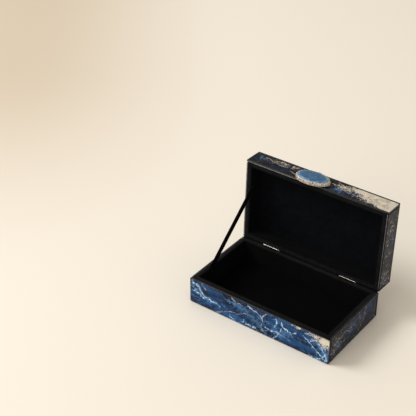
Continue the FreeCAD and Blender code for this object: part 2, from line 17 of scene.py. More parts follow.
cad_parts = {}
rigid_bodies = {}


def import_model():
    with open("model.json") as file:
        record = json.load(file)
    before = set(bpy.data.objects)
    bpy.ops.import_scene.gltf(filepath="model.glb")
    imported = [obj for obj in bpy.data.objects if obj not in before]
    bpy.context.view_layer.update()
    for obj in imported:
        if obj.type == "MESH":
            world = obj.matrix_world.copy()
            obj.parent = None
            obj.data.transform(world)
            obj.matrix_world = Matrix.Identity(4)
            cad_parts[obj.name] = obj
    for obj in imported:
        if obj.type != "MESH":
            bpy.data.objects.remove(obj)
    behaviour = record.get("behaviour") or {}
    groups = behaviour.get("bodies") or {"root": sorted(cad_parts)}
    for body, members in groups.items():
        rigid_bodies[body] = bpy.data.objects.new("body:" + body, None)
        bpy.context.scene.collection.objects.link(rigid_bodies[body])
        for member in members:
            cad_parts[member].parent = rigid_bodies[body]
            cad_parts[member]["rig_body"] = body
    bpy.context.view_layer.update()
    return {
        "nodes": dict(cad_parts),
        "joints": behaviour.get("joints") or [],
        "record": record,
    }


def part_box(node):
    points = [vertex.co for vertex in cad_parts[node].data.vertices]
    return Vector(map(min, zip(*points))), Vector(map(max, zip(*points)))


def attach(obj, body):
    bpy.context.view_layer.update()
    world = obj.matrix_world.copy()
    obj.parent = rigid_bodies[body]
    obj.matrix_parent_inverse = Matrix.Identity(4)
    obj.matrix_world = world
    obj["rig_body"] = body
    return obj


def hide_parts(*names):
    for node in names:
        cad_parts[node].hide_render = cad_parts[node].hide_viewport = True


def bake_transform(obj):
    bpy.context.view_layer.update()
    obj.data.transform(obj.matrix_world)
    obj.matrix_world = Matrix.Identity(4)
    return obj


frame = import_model()

MM = 0.001
PLACE = "place"     # the attribute that holds a point's place on its own panel, in millimetres
DEPTH_SHARE = 0.05      # how much of its depth a point's place keeps
WELD = 1e-6             # vertices nearer than this are one, in metres
RIPPLES = 9             # waves that make a covered block uneven
RIPPLE_LENGTHS = (14 * MM, 50 * MM)
THROUGH = "through"     # the attribute that runs from 0 on a pane's face to 1 on its back

log = logging.getLogger("gift_box")

Socket = bpy.types.NodeSocket
Source = Socket | float | tuple[float, ...]
Colour = tuple[float, float, float]
Point = tuple[float, float]
Face = tuple[int, ...]
Waves = tuple[tuple[int, float, float], ...]    # (waves in a turn, share of the size, phase)


# ------------------------------------------------------------------ the lid's turn


class LidTurn:
    """The lid's hinge line, and the turn between the shut box and the open one."""

    def __init__(self) -> None:
        """Read the hinge from the frame."""
        joint = frame["joints"][0]
        self.axis_point = Vector(joint["pos_m"])
        self.angle = math.radians(joint["range_deg"][1])
        turn = Matrix.Rotation(-self.angle, 4, Vector(joint["axis"]))
        shift = Matrix.Translation(self.axis_point)
        self.opening: Matrix = shift @ turn @ shift.inverted()
        self.shutting: Matrix = self.opening.inverted()

    def shut_box(self, node: str) -> tuple[Vector, Vector]:
        """Give a lid node's box as it is when the lid is shut.

        Args:
            node: The CAD node's name.

        Returns:
            The lowest and the highest corner, in metres.
        """
        places = [self.shutting @ v.co for v in frame["nodes"][node].data.vertices]
        low = Vector(min(p[i] for p in places) for i in range(3))
        high = Vector(max(p[i] for p in places) for i in range(3))
        return low, high

    def is_lid(self, node: str) -> bool:
        """Say whether a node rides on the lid."""
        return frame["nodes"][node]["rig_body"] == "lid"

    def home_box(self, node: str) -> tuple[Vector, Vector]:
        """Give a node's box with the lid shut, whichever body it rides on."""
        return self.shut_box(node) if self.is_lid(node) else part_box(node)


LID = LidTurn()


# ------------------------------------------------------------------ node trees


class Graph:
    """Adds and links nodes in one shader or geometry tree."""

    def __init__(self, tree: bpy.types.NodeTree) -> None:
        """Hold the tree that nodes are added to."""
        self.tree = tree

    def feed(self, socket: Socket, source: Source) -> None:
        """Link a socket to an input, or set the input's own value."""
        if isinstance(source, Socket):
            self.tree.links.new(source, socket)
        else:
            socket.default_value = source

    def node(self, kind: str, inputs: dict[str | int, Source] | None = None,
             **settings: object) -> bpy.types.Node:
        """Add a node.

        Args:
            kind: The node's type name.
            inputs: What feeds its inputs, by name or number.
            settings: The node's own properties.

        Returns:
            The new node.
        """
        made = self.tree.nodes.new(kind)
        for name, value in settings.items():
            setattr(made, name, value)
        for name, source in (inputs or {}).items():
            self.feed(made.inputs[name], source)
        return made

    def math(self, operation: str, *sources: Source, clamp: bool = False) -> Socket:
        """Work out a number from one to three others."""
        inputs = dict(enumerate(sources))
        made = self.node("ShaderNodeMath", inputs, operation=operation, use_clamp=clamp)
        return made.outputs[0]

    def add(self, first: Source, second: Source) -> Socket:
        """Add two numbers."""
        return self.math("ADD", first, second)

    def times(self, first: Source, second: Source) -> Socket:
        """Multiply two numbers."""
        return self.math("MULTIPLY", first, second)

    def vector(self, operation: str, *sources: Source) -> Socket:
        """Work out a vector from one or two others."""
        made = self.node("ShaderNodeVectorMath", dict(enumerate(sources)), operation=operation)
        single = operation in ("LENGTH", "DOT_PRODUCT", "DISTANCE")
        return made.outputs["Value" if single else "Vector"]

    def scaled(self, vector: Source, amount: Source) -> Socket:
        """Multiply a vector by a number."""
        made = self.node("ShaderNodeVectorMath", {0: vector, "Scale": amount}, operation="SCALE")
        return made.outputs["Vector"]

    def mix(self, share: Source, first: Source, second: Source) -> Socket:
        """Mix two colours by a share."""
        full = [(*c, 1.0) if isinstance(c, tuple) else c for c in (first, second)]
        made = self.node("ShaderNodeMix", {0: share, 6: full[0], 7: full[1]}, data_type="RGBA")
        return made.outputs[2]

    def noise(self, place: Source, scale: Source, detail: float = 3.0, rough: float = 0.5,
              twist: float = 0.0, output: str = "Fac") -> Socket:
        """Give a noise over a place in millimetres; scale is in waves per millimetre."""
        return self.node("ShaderNodeTexNoise", {
            "Vector": place, "Scale": scale, "Detail": detail, "Roughness": rough, "Distortion": twist,
        }).outputs[output]

    def jitter(self, place: Source, scale: float, detail: float, rough: float, amount: Source) -> Socket:
        """Give a random move for each place, of about this amount either way."""
        wave = self.noise(place, scale, detail, rough, output="Color")
        return self.scaled(self.vector("SUBTRACT", wave, (0.5, 0.5, 0.5)), amount)

    def weigh(self, first: Source, share: float, second: Source) -> Socket:
        """Add two numbers, the first by its share and the second by the rest."""
        rest = round(1.0 - share, 6)
        return self.add(self.times(first, share), self.times(second, rest))

    def stretch(self, place: Source, slant: Source, scale: tuple[float, float, float]) -> Socket:
        """Turn a place by a slant and stretch it."""
        inputs = {"Vector": place, "Rotation": slant, "Scale": scale}
        return self.node("ShaderNodeMapping", inputs).outputs["Vector"]

    def remap(self, value: Source, low: Source, high: Source, to_low: float = 0.0,
              to_high: float = 1.0, smooth: bool = True) -> Socket:
        """Stretch a number from one range to another, held inside it."""
        made = self.node(
            "ShaderNodeMapRange",
            {"Value": value, "From Min": low, "From Max": high, "To Min": to_low,
             "To Max": to_high},
            interpolation_type="SMOOTHSTEP" if smooth else "LINEAR",
        )
        return made.outputs["Result"]

    def ramp(self, value: Source, stops: list[tuple[float, Colour]]) -> Socket:
        """Turn a number into a colour through stops of (place, colour)."""
        made = self.node("ShaderNodeValToRGB", {"Fac": value})
        elements = made.color_ramp.elements
        while len(elements) < len(stops):
            elements.new(1.0)
        for element, (place, colour) in zip(elements, stops):
            element.position = place
            element.color = (*colour, 1.0)
        return made.outputs["Color"]

    def object_place(self) -> Socket:
        """Give a point's place in the object's own coordinates, in millimetres."""
        coordinates = self.node("ShaderNodeTexCoord").outputs["Object"]
        return self.scaled(coordinates, 1 / MM)

    def panel_place(self) -> Socket:
        """Give a point's place on its own panel, in millimetres."""
        made = self.node("ShaderNodeAttribute", attribute_name=PLACE)
        return made.outputs["Vector"]

    def group(self, effect: Effects, **inputs: Source) -> bpy.types.bpy_prop_collection:
        """Place a shared effect with its own values, and give its outputs."""
        made = self.tree.nodes.new("ShaderNodeGroup")
        made.node_tree = effect.value
        for name, source in inputs.items():
            self.feed(made.inputs[name], source)
        return made.outputs


SOCKETS = {"value": "NodeSocketFloat", "vector": "NodeSocketVector"}


class Effect:
    """A shader node group that more than one finish uses, built once."""

    def __init__(self, name: str, inputs: dict[str, str], outputs: dict[str, str]) -> None:
        """Start the group with its named inputs and outputs, each a kind in SOCKETS."""
        self.tree = bpy.data.node_groups.new(name, "ShaderNodeTree")
        for label, kind in inputs.items():
            self.tree.interface.new_socket(label, in_out="INPUT", socket_type=SOCKETS[kind])
        for label, kind in outputs.items():
            self.tree.interface.new_socket(label, in_out="OUTPUT", socket_type=SOCKETS[kind])
        self.graph = Graph(self.tree)
        self.given = self.graph.node("NodeGroupInput").outputs
        self.result = self.graph.node("NodeGroupOutput").inputs


def build_warp() -> bpy.types.NodeTree:
    """Build the group that bends a place, so that straight lines come out ragged."""
    effect = Effect("ragged_place", {"Place": "vector", "Drift": "value", "Jag": "value"},
                    {"Place": "vector"})
    graph, given = effect.graph, effect.given
    moved = given["Place"]
    for scale, detail, amount in ((0.045, 2.0, given["Drift"]), (0.22, 4.0, given["Jag"])):
        moved = graph.vector("ADD", moved, graph.jitter(given["Place"], scale, detail, 0.6, amount))
    flat = graph.vector("MULTIPLY", moved, (1.0, 1.0, 0.0))
    depth = graph.vector("MULTIPLY", given["Place"], (0.0, 0.0, 1.0))
    graph.feed(effect.result["Place"], graph.vector("ADD", flat, depth))
    return effect.tree


def build_web() -> bpy.types.NodeTree:
    """Build the group that draws a broken net of fine veins, as cracks in marble."""
    effect = Effect(
        "vein_web",
        {"Place": "vector", "Scale": "value", "Width": "value", "Breaks": "value"},
        {"Mask": "value"},
    )
    graph, given = effect.graph, effect.given
    cells = graph.node(
        "ShaderNodeTexVoronoi", {"Vector": given["Place"], "Scale": given["Scale"]},
        feature="DISTANCE_TO_EDGE",
    )
    swell = graph.noise(given["Place"], 0.12, 3.0)
    width = graph.times(given["Width"], graph.remap(swell, 0.35, 0.7, 0.15, 1.6))
    line = graph.math("SUBTRACT", 1.0, graph.math("DIVIDE", cells.outputs["Distance"], width), clamp=True)
    patch = graph.noise(given["Place"], 0.05, 3.0, 0.6)
    kept = graph.remap(patch, given["Breaks"], graph.add(given["Breaks"], 0.12))
    graph.feed(effect.result["Mask"], graph.times(line, kept))
    return effect.tree


def build_hair() -> bpy.types.NodeTree:
    """Build the group that draws wandering hair veins, where a drawn-out noise crosses its middle."""
    effect = Effect(
        "hair_veins",
        {"Place": "vector", "Slant": "vector", "Scale": "value", "Thick": "value",
         "Breaks": "value"},
        {"Mask": "value"},
    )
    graph, given = effect.graph, effect.given
    drawn = graph.stretch(given["Place"], given["Slant"], (0.5, 1.3, 1.0))
    wave = graph.noise(drawn, given["Scale"], 7.0, 0.6, 0.5)
    gap = graph.math("ABSOLUTE", graph.math("SUBTRACT", wave, 0.5))
    swell = graph.noise(given["Place"], 0.16, 4.0, 0.6)
    thick = graph.times(given["Thick"], graph.remap(swell, 0.38, 0.66, 0.1, 1.8))
    line = graph.math("SUBTRACT", 1.0, graph.math("DIVIDE", gap, thick), clamp=True)
    patch = graph.noise(given["Place"], 0.07, 3.0, 0.6)
    kept = graph.remap(patch, given["Breaks"], graph.add(given["Breaks"], 0.1))
    graph.feed(effect.result["Mask"], graph.times(line, kept))
    return effect.tree


def build_leaf() -> bpy.types.NodeTree:
    """Build the group that lays one patch of metal leaf, fading out towards its edge."""
    effect = Effect(
        "leaf_patch",
        {"Place": "vector", "Centre": "vector", "Spread": "vector", "Thick": "value",
         "Cover": "value"},
        {"Cover": "value"},
    )
    graph, given = effect.graph, effect.given
    flat = graph.vector("MULTIPLY", given["Place"], (1.0, 1.0, 0.0))
    out = graph.vector("DIVIDE", graph.vector("SUBTRACT", flat, given["Centre"]), given["Spread"])
    inside = graph.math("SUBTRACT", 1.0, graph.vector("LENGTH", out))
    laid = graph.times(inside, given["Thick"])
    graph.feed(effect.result["Cover"], graph.math("MAXIMUM", laid, given["Cover"]))
    return effect.tree


def build_crackle() -> bpy.types.NodeTree:
    """Build the group that breaks leaf up: whole where thick, flakes and specks where thin."""
    effect = Effect("crackled_leaf", {"Place": "vector", "Cover": "value"},
                    {"Leaf": "value", "Tone": "value"})
    graph, given = effect.graph, effect.given
    bent = graph.vector("ADD", given["Place"], graph.jitter(given["Place"], 0.5, 4.0, 0.65, 4.5))
    coarse = graph.noise(given["Place"], 0.24, 5.0, 0.72, 0.4)
    cover = graph.add(given["Cover"], graph.remap(coarse, 0.3, 0.7, -0.45, 0.45, False))
    flakes = graph.node("ShaderNodeTexVoronoi", {"Vector": bent, "Scale": 0.75},
                        feature="DISTANCE_TO_EDGE").outputs["Distance"]
    crack = graph.remap(cover, 0.0, 0.55, 0.38, -0.06, False)
    leaf = graph.remap(flakes, crack, graph.add(crack, 0.05))
    there = graph.remap(cover, 0.0, 0.06)
    graph.feed(effect.result["Leaf"], graph.times(leaf, there))
    broad = graph.noise(given["Place"], 0.09, 4.0, 0.6, 0.6)
    fine = graph.noise(given["Place"], 0.7, 6.0, 0.78)
    tone = graph.weigh(broad, 0.5, fine)
    graph.feed(effect.result["Tone"], tone)
    return effect.tree


def build_clouds() -> bpy.types.NodeTree:
    """Build the group that paints drifting clouds, drawn out along one slant."""
    effect = Effect(
        "drifting_clouds",
        {"Place": "vector", "Lift": "value", "Slant": "vector"},
        {"Cloud": "value", "Streak": "value"},
    )
    graph, given = effect.graph, effect.given
    turned = graph.stretch(given["Place"], given["Slant"], (0.45, 1.25, 1.0))
    big = graph.noise(turned, 0.045, 5.0, 0.58, 0.6)
    small = graph.noise(turned, 0.20, 6.0, 0.65, 0.3)
    body = graph.weigh(big, 0.72, small)
    graph.feed(effect.result["Cloud"], graph.add(body, given["Lift"]))
    drawn = graph.stretch(given["Place"], given["Slant"], (0.10, 1.9, 1.0))
    graph.feed(effect.result["Streak"], graph.noise(drawn, 0.22, 5.0, 0.7, 0.2))
    return effect.tree


def build_wear() -> bpy.types.NodeTree:
    """Build the group that adds smudges and fine dust to a roughness."""
    effect = Effect("smudges", {"Place": "vector", "Base": "value", "Amount": "value"},
                    {"Roughness": "value"})
    graph, given = effect.graph, effect.given
    broad = graph.noise(given["Place"], 0.06, 4.0, 0.6, 0.8)
    fine = graph.noise(given["Place"], 1.3, 3.0, 0.7)
    mask = graph.times(graph.remap(broad, 0.42, 0.72), graph.remap(fine, 0.3, 0.75))
    added = graph.times(mask, given["Amount"])
    graph.feed(effect.result["Roughness"], graph.add(given["Base"], added))
    return effect.tree


def build_pile() -> bpy.types.NodeTree:
    """Build the group that gives velvet's pile: brushed shades and a fine tufted height."""
    effect = Effect(
        "velvet_pile", {"Place": "vector", "Brush": "value"},
        {"Shade": "value", "Height": "value"},
    )
    graph, given = effect.graph, effect.given
    brushed = graph.noise(given["Place"], 0.055, 4.0, 0.6, 1.4)
    tufts = graph.noise(given["Place"], 2.6, 3.0, 0.75)
    grains = graph.node("ShaderNodeTexVoronoi", {"Vector": given["Place"], "Scale": 3.1})
    shade = graph.times(graph.remap(brushed, 0.30, 0.74), given["Brush"])
    speckle = graph.remap(tufts, 0.40, 0.72, 0.0, 0.55)
    graph.feed(effect.result["Shade"], graph.add(shade, speckle))
    height = graph.add(tufts, graph.times(grains.outputs["Distance"], 0.5))
    graph.feed(effect.result["Height"], height)
    return effect.tree


class Effects(Enum):
    """The shared effects, each a group that is built once."""

    WARP = build_warp()
    WEB = build_web()
    HAIR = build_hair()
    LEAF = build_leaf()
    CRACKLE = build_crackle()
    CLOUDS = build_clouds()
    WEAR = build_wear()
    PILE = build_pile()


class Finish:
    """One material under construction: a Principled shader and its graph."""

    def __init__(self, name: str, **own: Source) -> None:
        """Start a material.

        Args:
            name: The material's name.
            own: Values for the shader's own sockets, with _ for each space.
        """
        self.material = bpy.data.materials.new(name)
        self.material.use_nodes = True
        self.graph = Graph(self.material.node_tree)
        self.shader = self.material.node_tree.nodes["Principled BSDF"]
        for label, value in own.items():
            self.shader.inputs[label.replace("_", " ")].default_value = value

    def set(self, label: str, source: Source) -> None:
        """Feed one of the shader's sockets."""
        self.graph.feed(self.shader.inputs[label], source)

    def smudge(self, place: Source, base: float, amount: float) -> None:
        """Set the roughness, which smudges and dust add to."""
        worn = self.graph.group(Effects.WEAR, Place=place, Base=base, Amount=amount)
        self.set("Roughness", worn["Roughness"])

    def bump(self, height: Source, strength: float, distance: float) -> None:
        """Raise the surface by a height; distance is in metres."""
        made = self.graph.node(
            "ShaderNodeBump", {"Height": height, "Strength": strength, "Distance": distance}
        )
        self.set("Normal", made.outputs["Normal"])


# ------------------------------------------------------------------ painted glass


class Ink(Enum):
    """What a listed vein is painted in."""

    LIGHT = "light"
    BLUE = "blue"
    GOLD = "gold"


@dataclass(frozen=True)
class Vein:
    """A vein drawn through listed points on its pane, in millimetres."""

    points: tuple[Point, ...]
    width: float = 0.6
    ink: Ink = Ink.LIGHT


@dataclass
class Track:
    """Veins that one curve can hold, because no two of them share a place along it.

    The curve gives a vein's height for each place along the pane, or its place along the pane
    for each height, and drops far outside the pane where there is no vein.
    """

    axis: int               # what the curve is read by: 0 along the pane, 1 up it
    width: float
    lines: list[list[Point]] = field(default_factory=list)

    CLEARANCE = 1.5         # least distance between two veins on a track, in millimetres
    REACH = (110.0, 70.0)   # how far each axis is read from the middle, in millimetres
    ABSENT = -170.0         # where the curve goes between veins
    STEP = 0.0015

    def takes(self, line: list[Point]) -> bool:
        """Say whether a line fits between the ones that the track holds already."""
        low, high = line[0][self.axis], line[-1][self.axis]
        return all(
            high + self.CLEARANCE < held[0][self.axis] or low - self.CLEARANCE > held[-1][self.axis]
            for held in self.lines
        )

    def curve_points(self) -> list[Point]:
        """Give the curve's points, each from 0 to 1."""
        across = 1 - self.axis
        span, rise = self.REACH[self.axis], self.REACH[across]
        points = [(0.0, 0.0)]
        for line in sorted(self.lines, key=lambda held: held[0][self.axis]):
            spots = [
                (0.5 + p[self.axis] / span / 2, (p[across] - self.ABSENT) / (rise - self.ABSENT))
                for p in line
            ]
            points.append((spots[0][0] - self.STEP, 0.0))
            points += spots
            points.append((spots[-1][0] + self.STEP, 0.0))
        return points + [(1.0, 0.0)]

    def nearest(self, graph: Graph, place: tuple[Source, Source], nearest: Source) -> Source:
        """Measure how far a place is from the track's veins.

        Args:
            graph: The material's nodes.
            place: The two coordinates of the place, in millimetres.
            nearest: The distance to the veins that were measured before.

        Returns:
            The smaller distance, in vein widths.
        """
        across = 1 - self.axis
        span, rise = self.REACH[self.axis], self.REACH[across]
        share = graph.math("MULTIPLY_ADD", place[self.axis], 0.5 / span, 0.5)
        height = graph.node("ShaderNodeFloatCurve", {"Value": share})
        curve = height.mapping.curves[0]
        points = self.curve_points()
        for _ in points[2:]:
            curve.points.new(0.5, 0.5)
        for spot, point in zip(curve.points, points):
            spot.location = point
            spot.handle_type = "VECTOR"
        height.mapping.update()
        level = graph.math("MULTIPLY_ADD", height.outputs["Value"], rise - self.ABSENT, self.ABSENT)
        gap = graph.math("ABSOLUTE", graph.math("SUBTRACT", place[across], level))
        return graph.math("MINIMUM", graph.math("DIVIDE", gap, self.width), nearest)


def plan_tracks(veins: list[Vein]) -> list[Track]:
    """Sort veins into as few tracks as hold them, cutting each where it changes direction.

    Args:
        veins: The veins of one ink.

    Returns:
        The tracks.
    """
    tracks: list[Track] = []
    for vein in veins:
        runs: list[tuple[int, list[Point]]] = []
        for start, end in zip(vein.points, vein.points[1:]):
            axis = 0 if abs(end[0] - start[0]) >= abs(end[1] - start[1]) else 1
            forward = end[axis] > start[axis]
            same = bool(runs) and runs[-1][0] == axis and (
                (runs[-1][1][-1][axis] > runs[-1][1][0][axis]) == forward
            )
            if same:
                runs[-1][1].append(end)
            else:
                runs.append((axis, [start, end]))
        for axis, line in runs:
            ordered = sorted(line, key=lambda spot: spot[axis])
            fitting = [t for t in tracks if t.axis == axis and t.width == vein.width and t.takes(ordered)]
            if not fitting:
                fitting = [Track(axis, vein.width)]
                tracks += fitting
            fitting[0].lines.append(ordered)
    return tracks


@dataclass(frozen=True)
class Leaf:
    """A patch of metal leaf: its centre, how far it spreads, in millimetres, and how thickly."""

    centre: Point
    spread: Point
    thick: float = 1.0


@dataclass(frozen=True)
class MarblePaint:
    """The marbled painting on the back of one pane."""

    seed: float
    lift: float = 0.0           # brighter clouds
    slant: float = -30.0        # degrees that the clouds are drawn out along
    wisp: float = 0.5           # strength of the pale wisps
    web: float = 0.5            # strength of the fine light veins
    gold: float = 0.5           # strength of the fine gold veins
    flecks: float = 0.0         # loose leaf flecks all over
    tarnish: float = 0.0        # how grey the leaf is
    haze: float = 0.0           # strength of a thin glaze over the dark paint
    glaze: Colour = (0.0620, 0.0640, 0.0660)
    veins: tuple[Vein, ...] = ()
    leaves: tuple[Leaf, ...] = ()

    DEEP = (0.0030, 0.0048, 0.0120)
    NAVY = (0.0060, 0.0125, 0.0350)
    STEEL = (0.0085, 0.0430, 0.1350)
    SKY = (0.0240, 0.1120, 0.2900)
    SPARK = (0.1300, 0.3400, 0.6800)
    WHITE = (0.6200, 0.7600, 0.9000)
    GOLD = (0.5200, 0.4400, 0.3200)
    LEAF_PIT = (0.1000, 0.0850, 0.0660)
    LEAF_DULL = (0.4600, 0.4200, 0.3500)
    LEAF_LIGHT = (0.7600, 0.7000, 0.6000)
    LEAF_GLINT = (0.9200, 0.8800, 0.7900)

    def nearest_vein(self, graph: Graph, place: Source, ink: Ink) -> Source:
        """Measure how far a place is from the listed veins of one ink, in vein widths."""
        nearest: Source = 40.0
        axes = graph.node("ShaderNodeSeparateXYZ", {0: place})
        for track in plan_tracks([vein for vein in self.veins if vein.ink is ink]):
            nearest = track.nearest(graph, (axes.outputs["X"], axes.outputs["Y"]), nearest)
        return nearest

    def leaf_cover(self, graph: Graph, place: Source) -> Source:
        """Give how thickly the leaf lies, below 0 where there is none."""
        cover: Source = -1.0
        for leaf in self.leaves:
            cover = graph.group(
                Effects.LEAF, Place=place, Centre=(*leaf.centre, 0.0), Spread=(*leaf.spread, 1.0),
                Thick=leaf.thick, Cover=cover,
            )["Cover"]
        return cover

    def material(self, name: str) -> bpy.types.Material:
        """Make the pane's material: the painting, seen under clear glossy glass."""
        finish = Finish(name, Coat_Weight=0.10, Coat_Roughness=0.06, Coat_IOR=1.5,
                        Specular_IOR_Level=0.06)
        graph = finish.graph
        home = graph.vector("ADD", graph.panel_place(), (0.0, 0.0, 31.7 * self.seed))
        ragged = graph.group(Effects.WARP, Place=home, Drift=6.0, Jag=7.0)["Place"]
        slant = (0.0, 0.0, math.radians(-self.slant))
        clouds = graph.group(Effects.CLOUDS, Place=home, Lift=self.lift, Slant=slant)
        colour = graph.ramp(clouds["Cloud"], [
            (0.39, self.DEEP), (0.47, self.NAVY), (0.55, self.STEEL), (0.71, self.SKY),
        ])
        streak = graph.remap(clouds["Streak"], 0.50, 0.70, 0.0, self.wisp)
        colour = graph.mix(streak, colour, self.SKY)
        if self.haze:
            veil = graph.noise(home, 0.35, 6.0, 0.75)
            colour = graph.mix(graph.remap(veil, 0.36, 0.62, 0.1, self.haze), colour, self.glaze)
        colour = self.paint_hairs(graph, home, ragged, slant, colour)
        colour = self.paint_veins(graph, ragged, home, colour)
        colour, leaf = self.lay_leaf(graph, home, colour)
        finish.set("Base Color", colour)
        finish.set("Metallic", graph.times(leaf, 0.45))
        finish.smudge(home, 0.42, 0.2)
        crumple = graph.noise(home, 0.9, 4.0, 0.7)
        finish.bump(graph.times(crumple, leaf), 0.5, 0.15 * MM)
        return finish.material

    def paint_hairs(self, graph: Graph, home: Source, ragged: Source,
                    slant: tuple[float, float, float], colour: Source) -> Source:
        """Paint the fine veins: pale blue hairs on the slant, and wandering gold ones."""
        for shift, scale, thick, breaks, strength in (
            (11.0, 0.034, 0.0085, 0.44, self.web), (47.0, 0.060, 0.0110, 0.47, self.web * 0.8),
        ):
            place = graph.vector("ADD", home, (shift, shift * 2, shift * 3))
            mask = graph.group(
                Effects.HAIR, Place=place, Slant=slant, Scale=scale, Thick=thick, Breaks=breaks
            )["Mask"]
            colour = graph.mix(graph.times(mask, strength), colour, self.SPARK)
        for shift, scale, width, breaks in ((90.0, 0.030, 0.010, 0.46), (17.0, 0.055, 0.012, 0.50)):
            place = graph.vector("ADD", ragged, (shift, shift * 2, shift * 3))
            mask = graph.group(Effects.WEB, Place=place, Scale=scale, Width=width, Breaks=breaks)["Mask"]
            colour = graph.mix(graph.times(mask, self.gold), colour, self.GOLD)
        return colour

    def paint_veins(self, graph: Graph, ragged: Source, home: Source, colour: Source) -> Source:
        """Paint the listed veins, each a pale core in a blue glow."""
        breaks = graph.noise(home, 0.30, 5.0, 0.7)
        thick = graph.remap(breaks, 0.38, 0.64, 0.10, 1.6)
        blue = graph.math("DIVIDE", self.nearest_vein(graph, ragged, Ink.BLUE), thick)
        colour = graph.mix(graph.remap(blue, 3.0, 0.0, 0.0, 0.34), colour, self.SPARK)
        pale = graph.math("DIVIDE", self.nearest_vein(graph, ragged, Ink.LIGHT), thick)
        colour = graph.mix(graph.remap(pale, 7.0, 0.5, 0.0, 0.26), colour, self.SPARK)
        colour = graph.mix(graph.remap(pale, 2.2, 0.6, 0.0, 0.75), colour, self.SPARK)
        colour = graph.mix(graph.remap(pale, 1.1, 0.5, 0.0, 0.95), colour, self.WHITE)
        gold = graph.math("DIVIDE", self.nearest_vein(graph, ragged, Ink.GOLD), thick)
        return graph.mix(graph.remap(gold, 1.3, 0.5, 0.0, 0.95), colour, self.GOLD)

    def lay_leaf(self, graph: Graph, home: Source, colour: Source) -> tuple[Source, Source]:
        """Lay the leaf over the paint, broken into flakes along its edges."""
        cover = self.leaf_cover(graph, home)
        if self.flecks:
            drift = graph.noise(home, 0.045, 3.0, 0.6)
            loose = graph.remap(drift, 0.35, 0.65, -0.3, self.flecks, False)
            cover = graph.math("MAXIMUM", cover, loose)
        flakes = graph.group(Effects.CRACKLE, Place=home, Cover=cover)
        shade = graph.ramp(graph.math("SUBTRACT", flakes["Tone"], self.tarnish), [
            (0.34, self.LEAF_PIT), (0.40, self.LEAF_DULL), (0.52, self.LEAF_LIGHT),
            (0.64, self.LEAF_GLINT),
        ])
        return graph.mix(flakes["Leaf"], colour, shade), flakes["Leaf"]


def light(*points: Point, width: float = 0.42) -> Vein:
    """Name a pale blue vein through some points."""
    return Vein(points, width)


def glow(*points: Point, width: float = 2.5) -> Vein:
    """Name a soft blue streak through some points."""
    return Vein(points, width, Ink.BLUE)


def gilt(*points: Point, width: float = 0.42) -> Vein:
    """Name a gold vein through some points."""
    return Vein(points, width, Ink.GOLD)


BASE_FRONT_PAINT = MarblePaint(
    seed=1.0, lift=0.015, slant=-32.0, wisp=0.45, web=0.8, gold=0.15,
    veins=(
        light((-99, 34), (-88, 27), (-81, 18), (-73, 16), (-62, 15), (-56, 10), width=0.6),
        light((-100, 20), (-86, 19), (-78, 12)),
        light((-100, 27), (-93, 22), (-84, 14), width=0.3),
        light((-100, 31), (-90, 31), (-84, 24), width=0.3),
        glow((-100, 30), (-84, 20), (-70, 12)),
        gilt((-85, 35), (-76, 28)),
        gilt((-62, 2), (-50, 8), (-38, 12), (-28, 14), (-20, 19), (-13, 19)),
        light((-41, 6), (-31, 0.5), (-22, 4), (-18, 11)),
        light((-18, 5), (-2, 5), (2, 1)),
        glow((-44, 28), (-20, 26), (0, 14), (14, 4), width=3.0),
        gilt((-16, 33), (-2, 30), (7, 24), (8, 19), (6, 13), (9, 5), width=0.6),
        light((-14, 34), (0, 29), (8, 22)),
        light((7, 24), (13, 34)),
        light((27, 34), (29, 28), (25, 20)),
        light((34, 32), (37, 24), (49, 22), (55, 26), width=0.6),
        light((11, 13), (22, 13), (31, 13), (36, 22), width=0.6),
        gilt((31, 13), (43, 11), (48, 8)),
        light((31, 13), (26, 5), (22, 0)),
        glow((20, 14), (34, 12), (50, 22), width=3.0),
        light((66, 27), (75, 20), (87, 12), (92, 8), width=0.6),
        light((72, 21), (79, 26), (86, 29)),
        light((67, 31), (78, 35)),
        light((88, 26), (92, 18), (97, 12), (100, 5), width=0.6),
        light((96, 25), (98, 14), (94, 7)),
        glow((86, 30), (95, 18), (100, 4), width=5.0),
        light((74, 1), (83, 1), (92, 5), (100, 4), width=0.6),
        gilt((-40, 35), (-30, 30), (-24, 32)),
    ),
    leaves=(Leaf((98, 32), (19, 13), 0.8), Leaf((84, 34), (16, 6), 0.55),
            Leaf((56, 35), (10, 3), 0.6)),
)
LID_FRONT_PAINT = MarblePaint(
    seed=2.0, lift=-0.10, slant=12.0, wisp=0.1, web=0.15, gold=0.2,
    veins=(
        glow((-94, 57), (-88, 53), (-84, 54), width=1.6),
        glow((22, 44), (28, 46), (34, 44), width=2.8),
        light((24, 47), (27, 44)),
        gilt((-84, 60), (-72, 55), (-60, 51), (-50, 52)),
        gilt((-72, 55), (-66, 60), (-52, 58), (-38, 59)),
        gilt((-60, 51), (-52, 56)), gilt((-44, 47), (-30, 45)),
        gilt((14, 53), (24, 55), (38, 53), width=0.6),
        gilt((20, 60), (30, 57), (36, 49), (44, 46), width=0.6),
        gilt((28, 56), (32, 50), (30, 46)),
    ),
    leaves=(
        Leaf((92, 54), (54, 18), 1.3), Leaf((62, 58), (40, 9), 1.2), Leaf((98, 48), (30, 18), 1.3),
        Leaf((-62, 57), (26, 6), 0.3), Leaf((-42, 58), (18, 5), 0.3), Leaf((36, 54), (20, 9), 0.5),
    ),
)
BASE_RIGHT_PAINT = MarblePaint(
    seed=3.0, lift=-0.065, slant=20.0, wisp=0.1, web=0.5, gold=0.3, flecks=0.03, tarnish=0.03,
    veins=(gilt((-44, 30), (-34, 25), (-20, 27), (-8, 20)), gilt((10, 8), (24, 20), (28, 34)),
           glow((-44, 14), (-38, 18), (-34, 12), width=1.0)),
    leaves=(Leaf((-42, 18), (18, 15), 0.25),), haze=0.6, glaze=(0.0240, 0.0300, 0.0480),
)
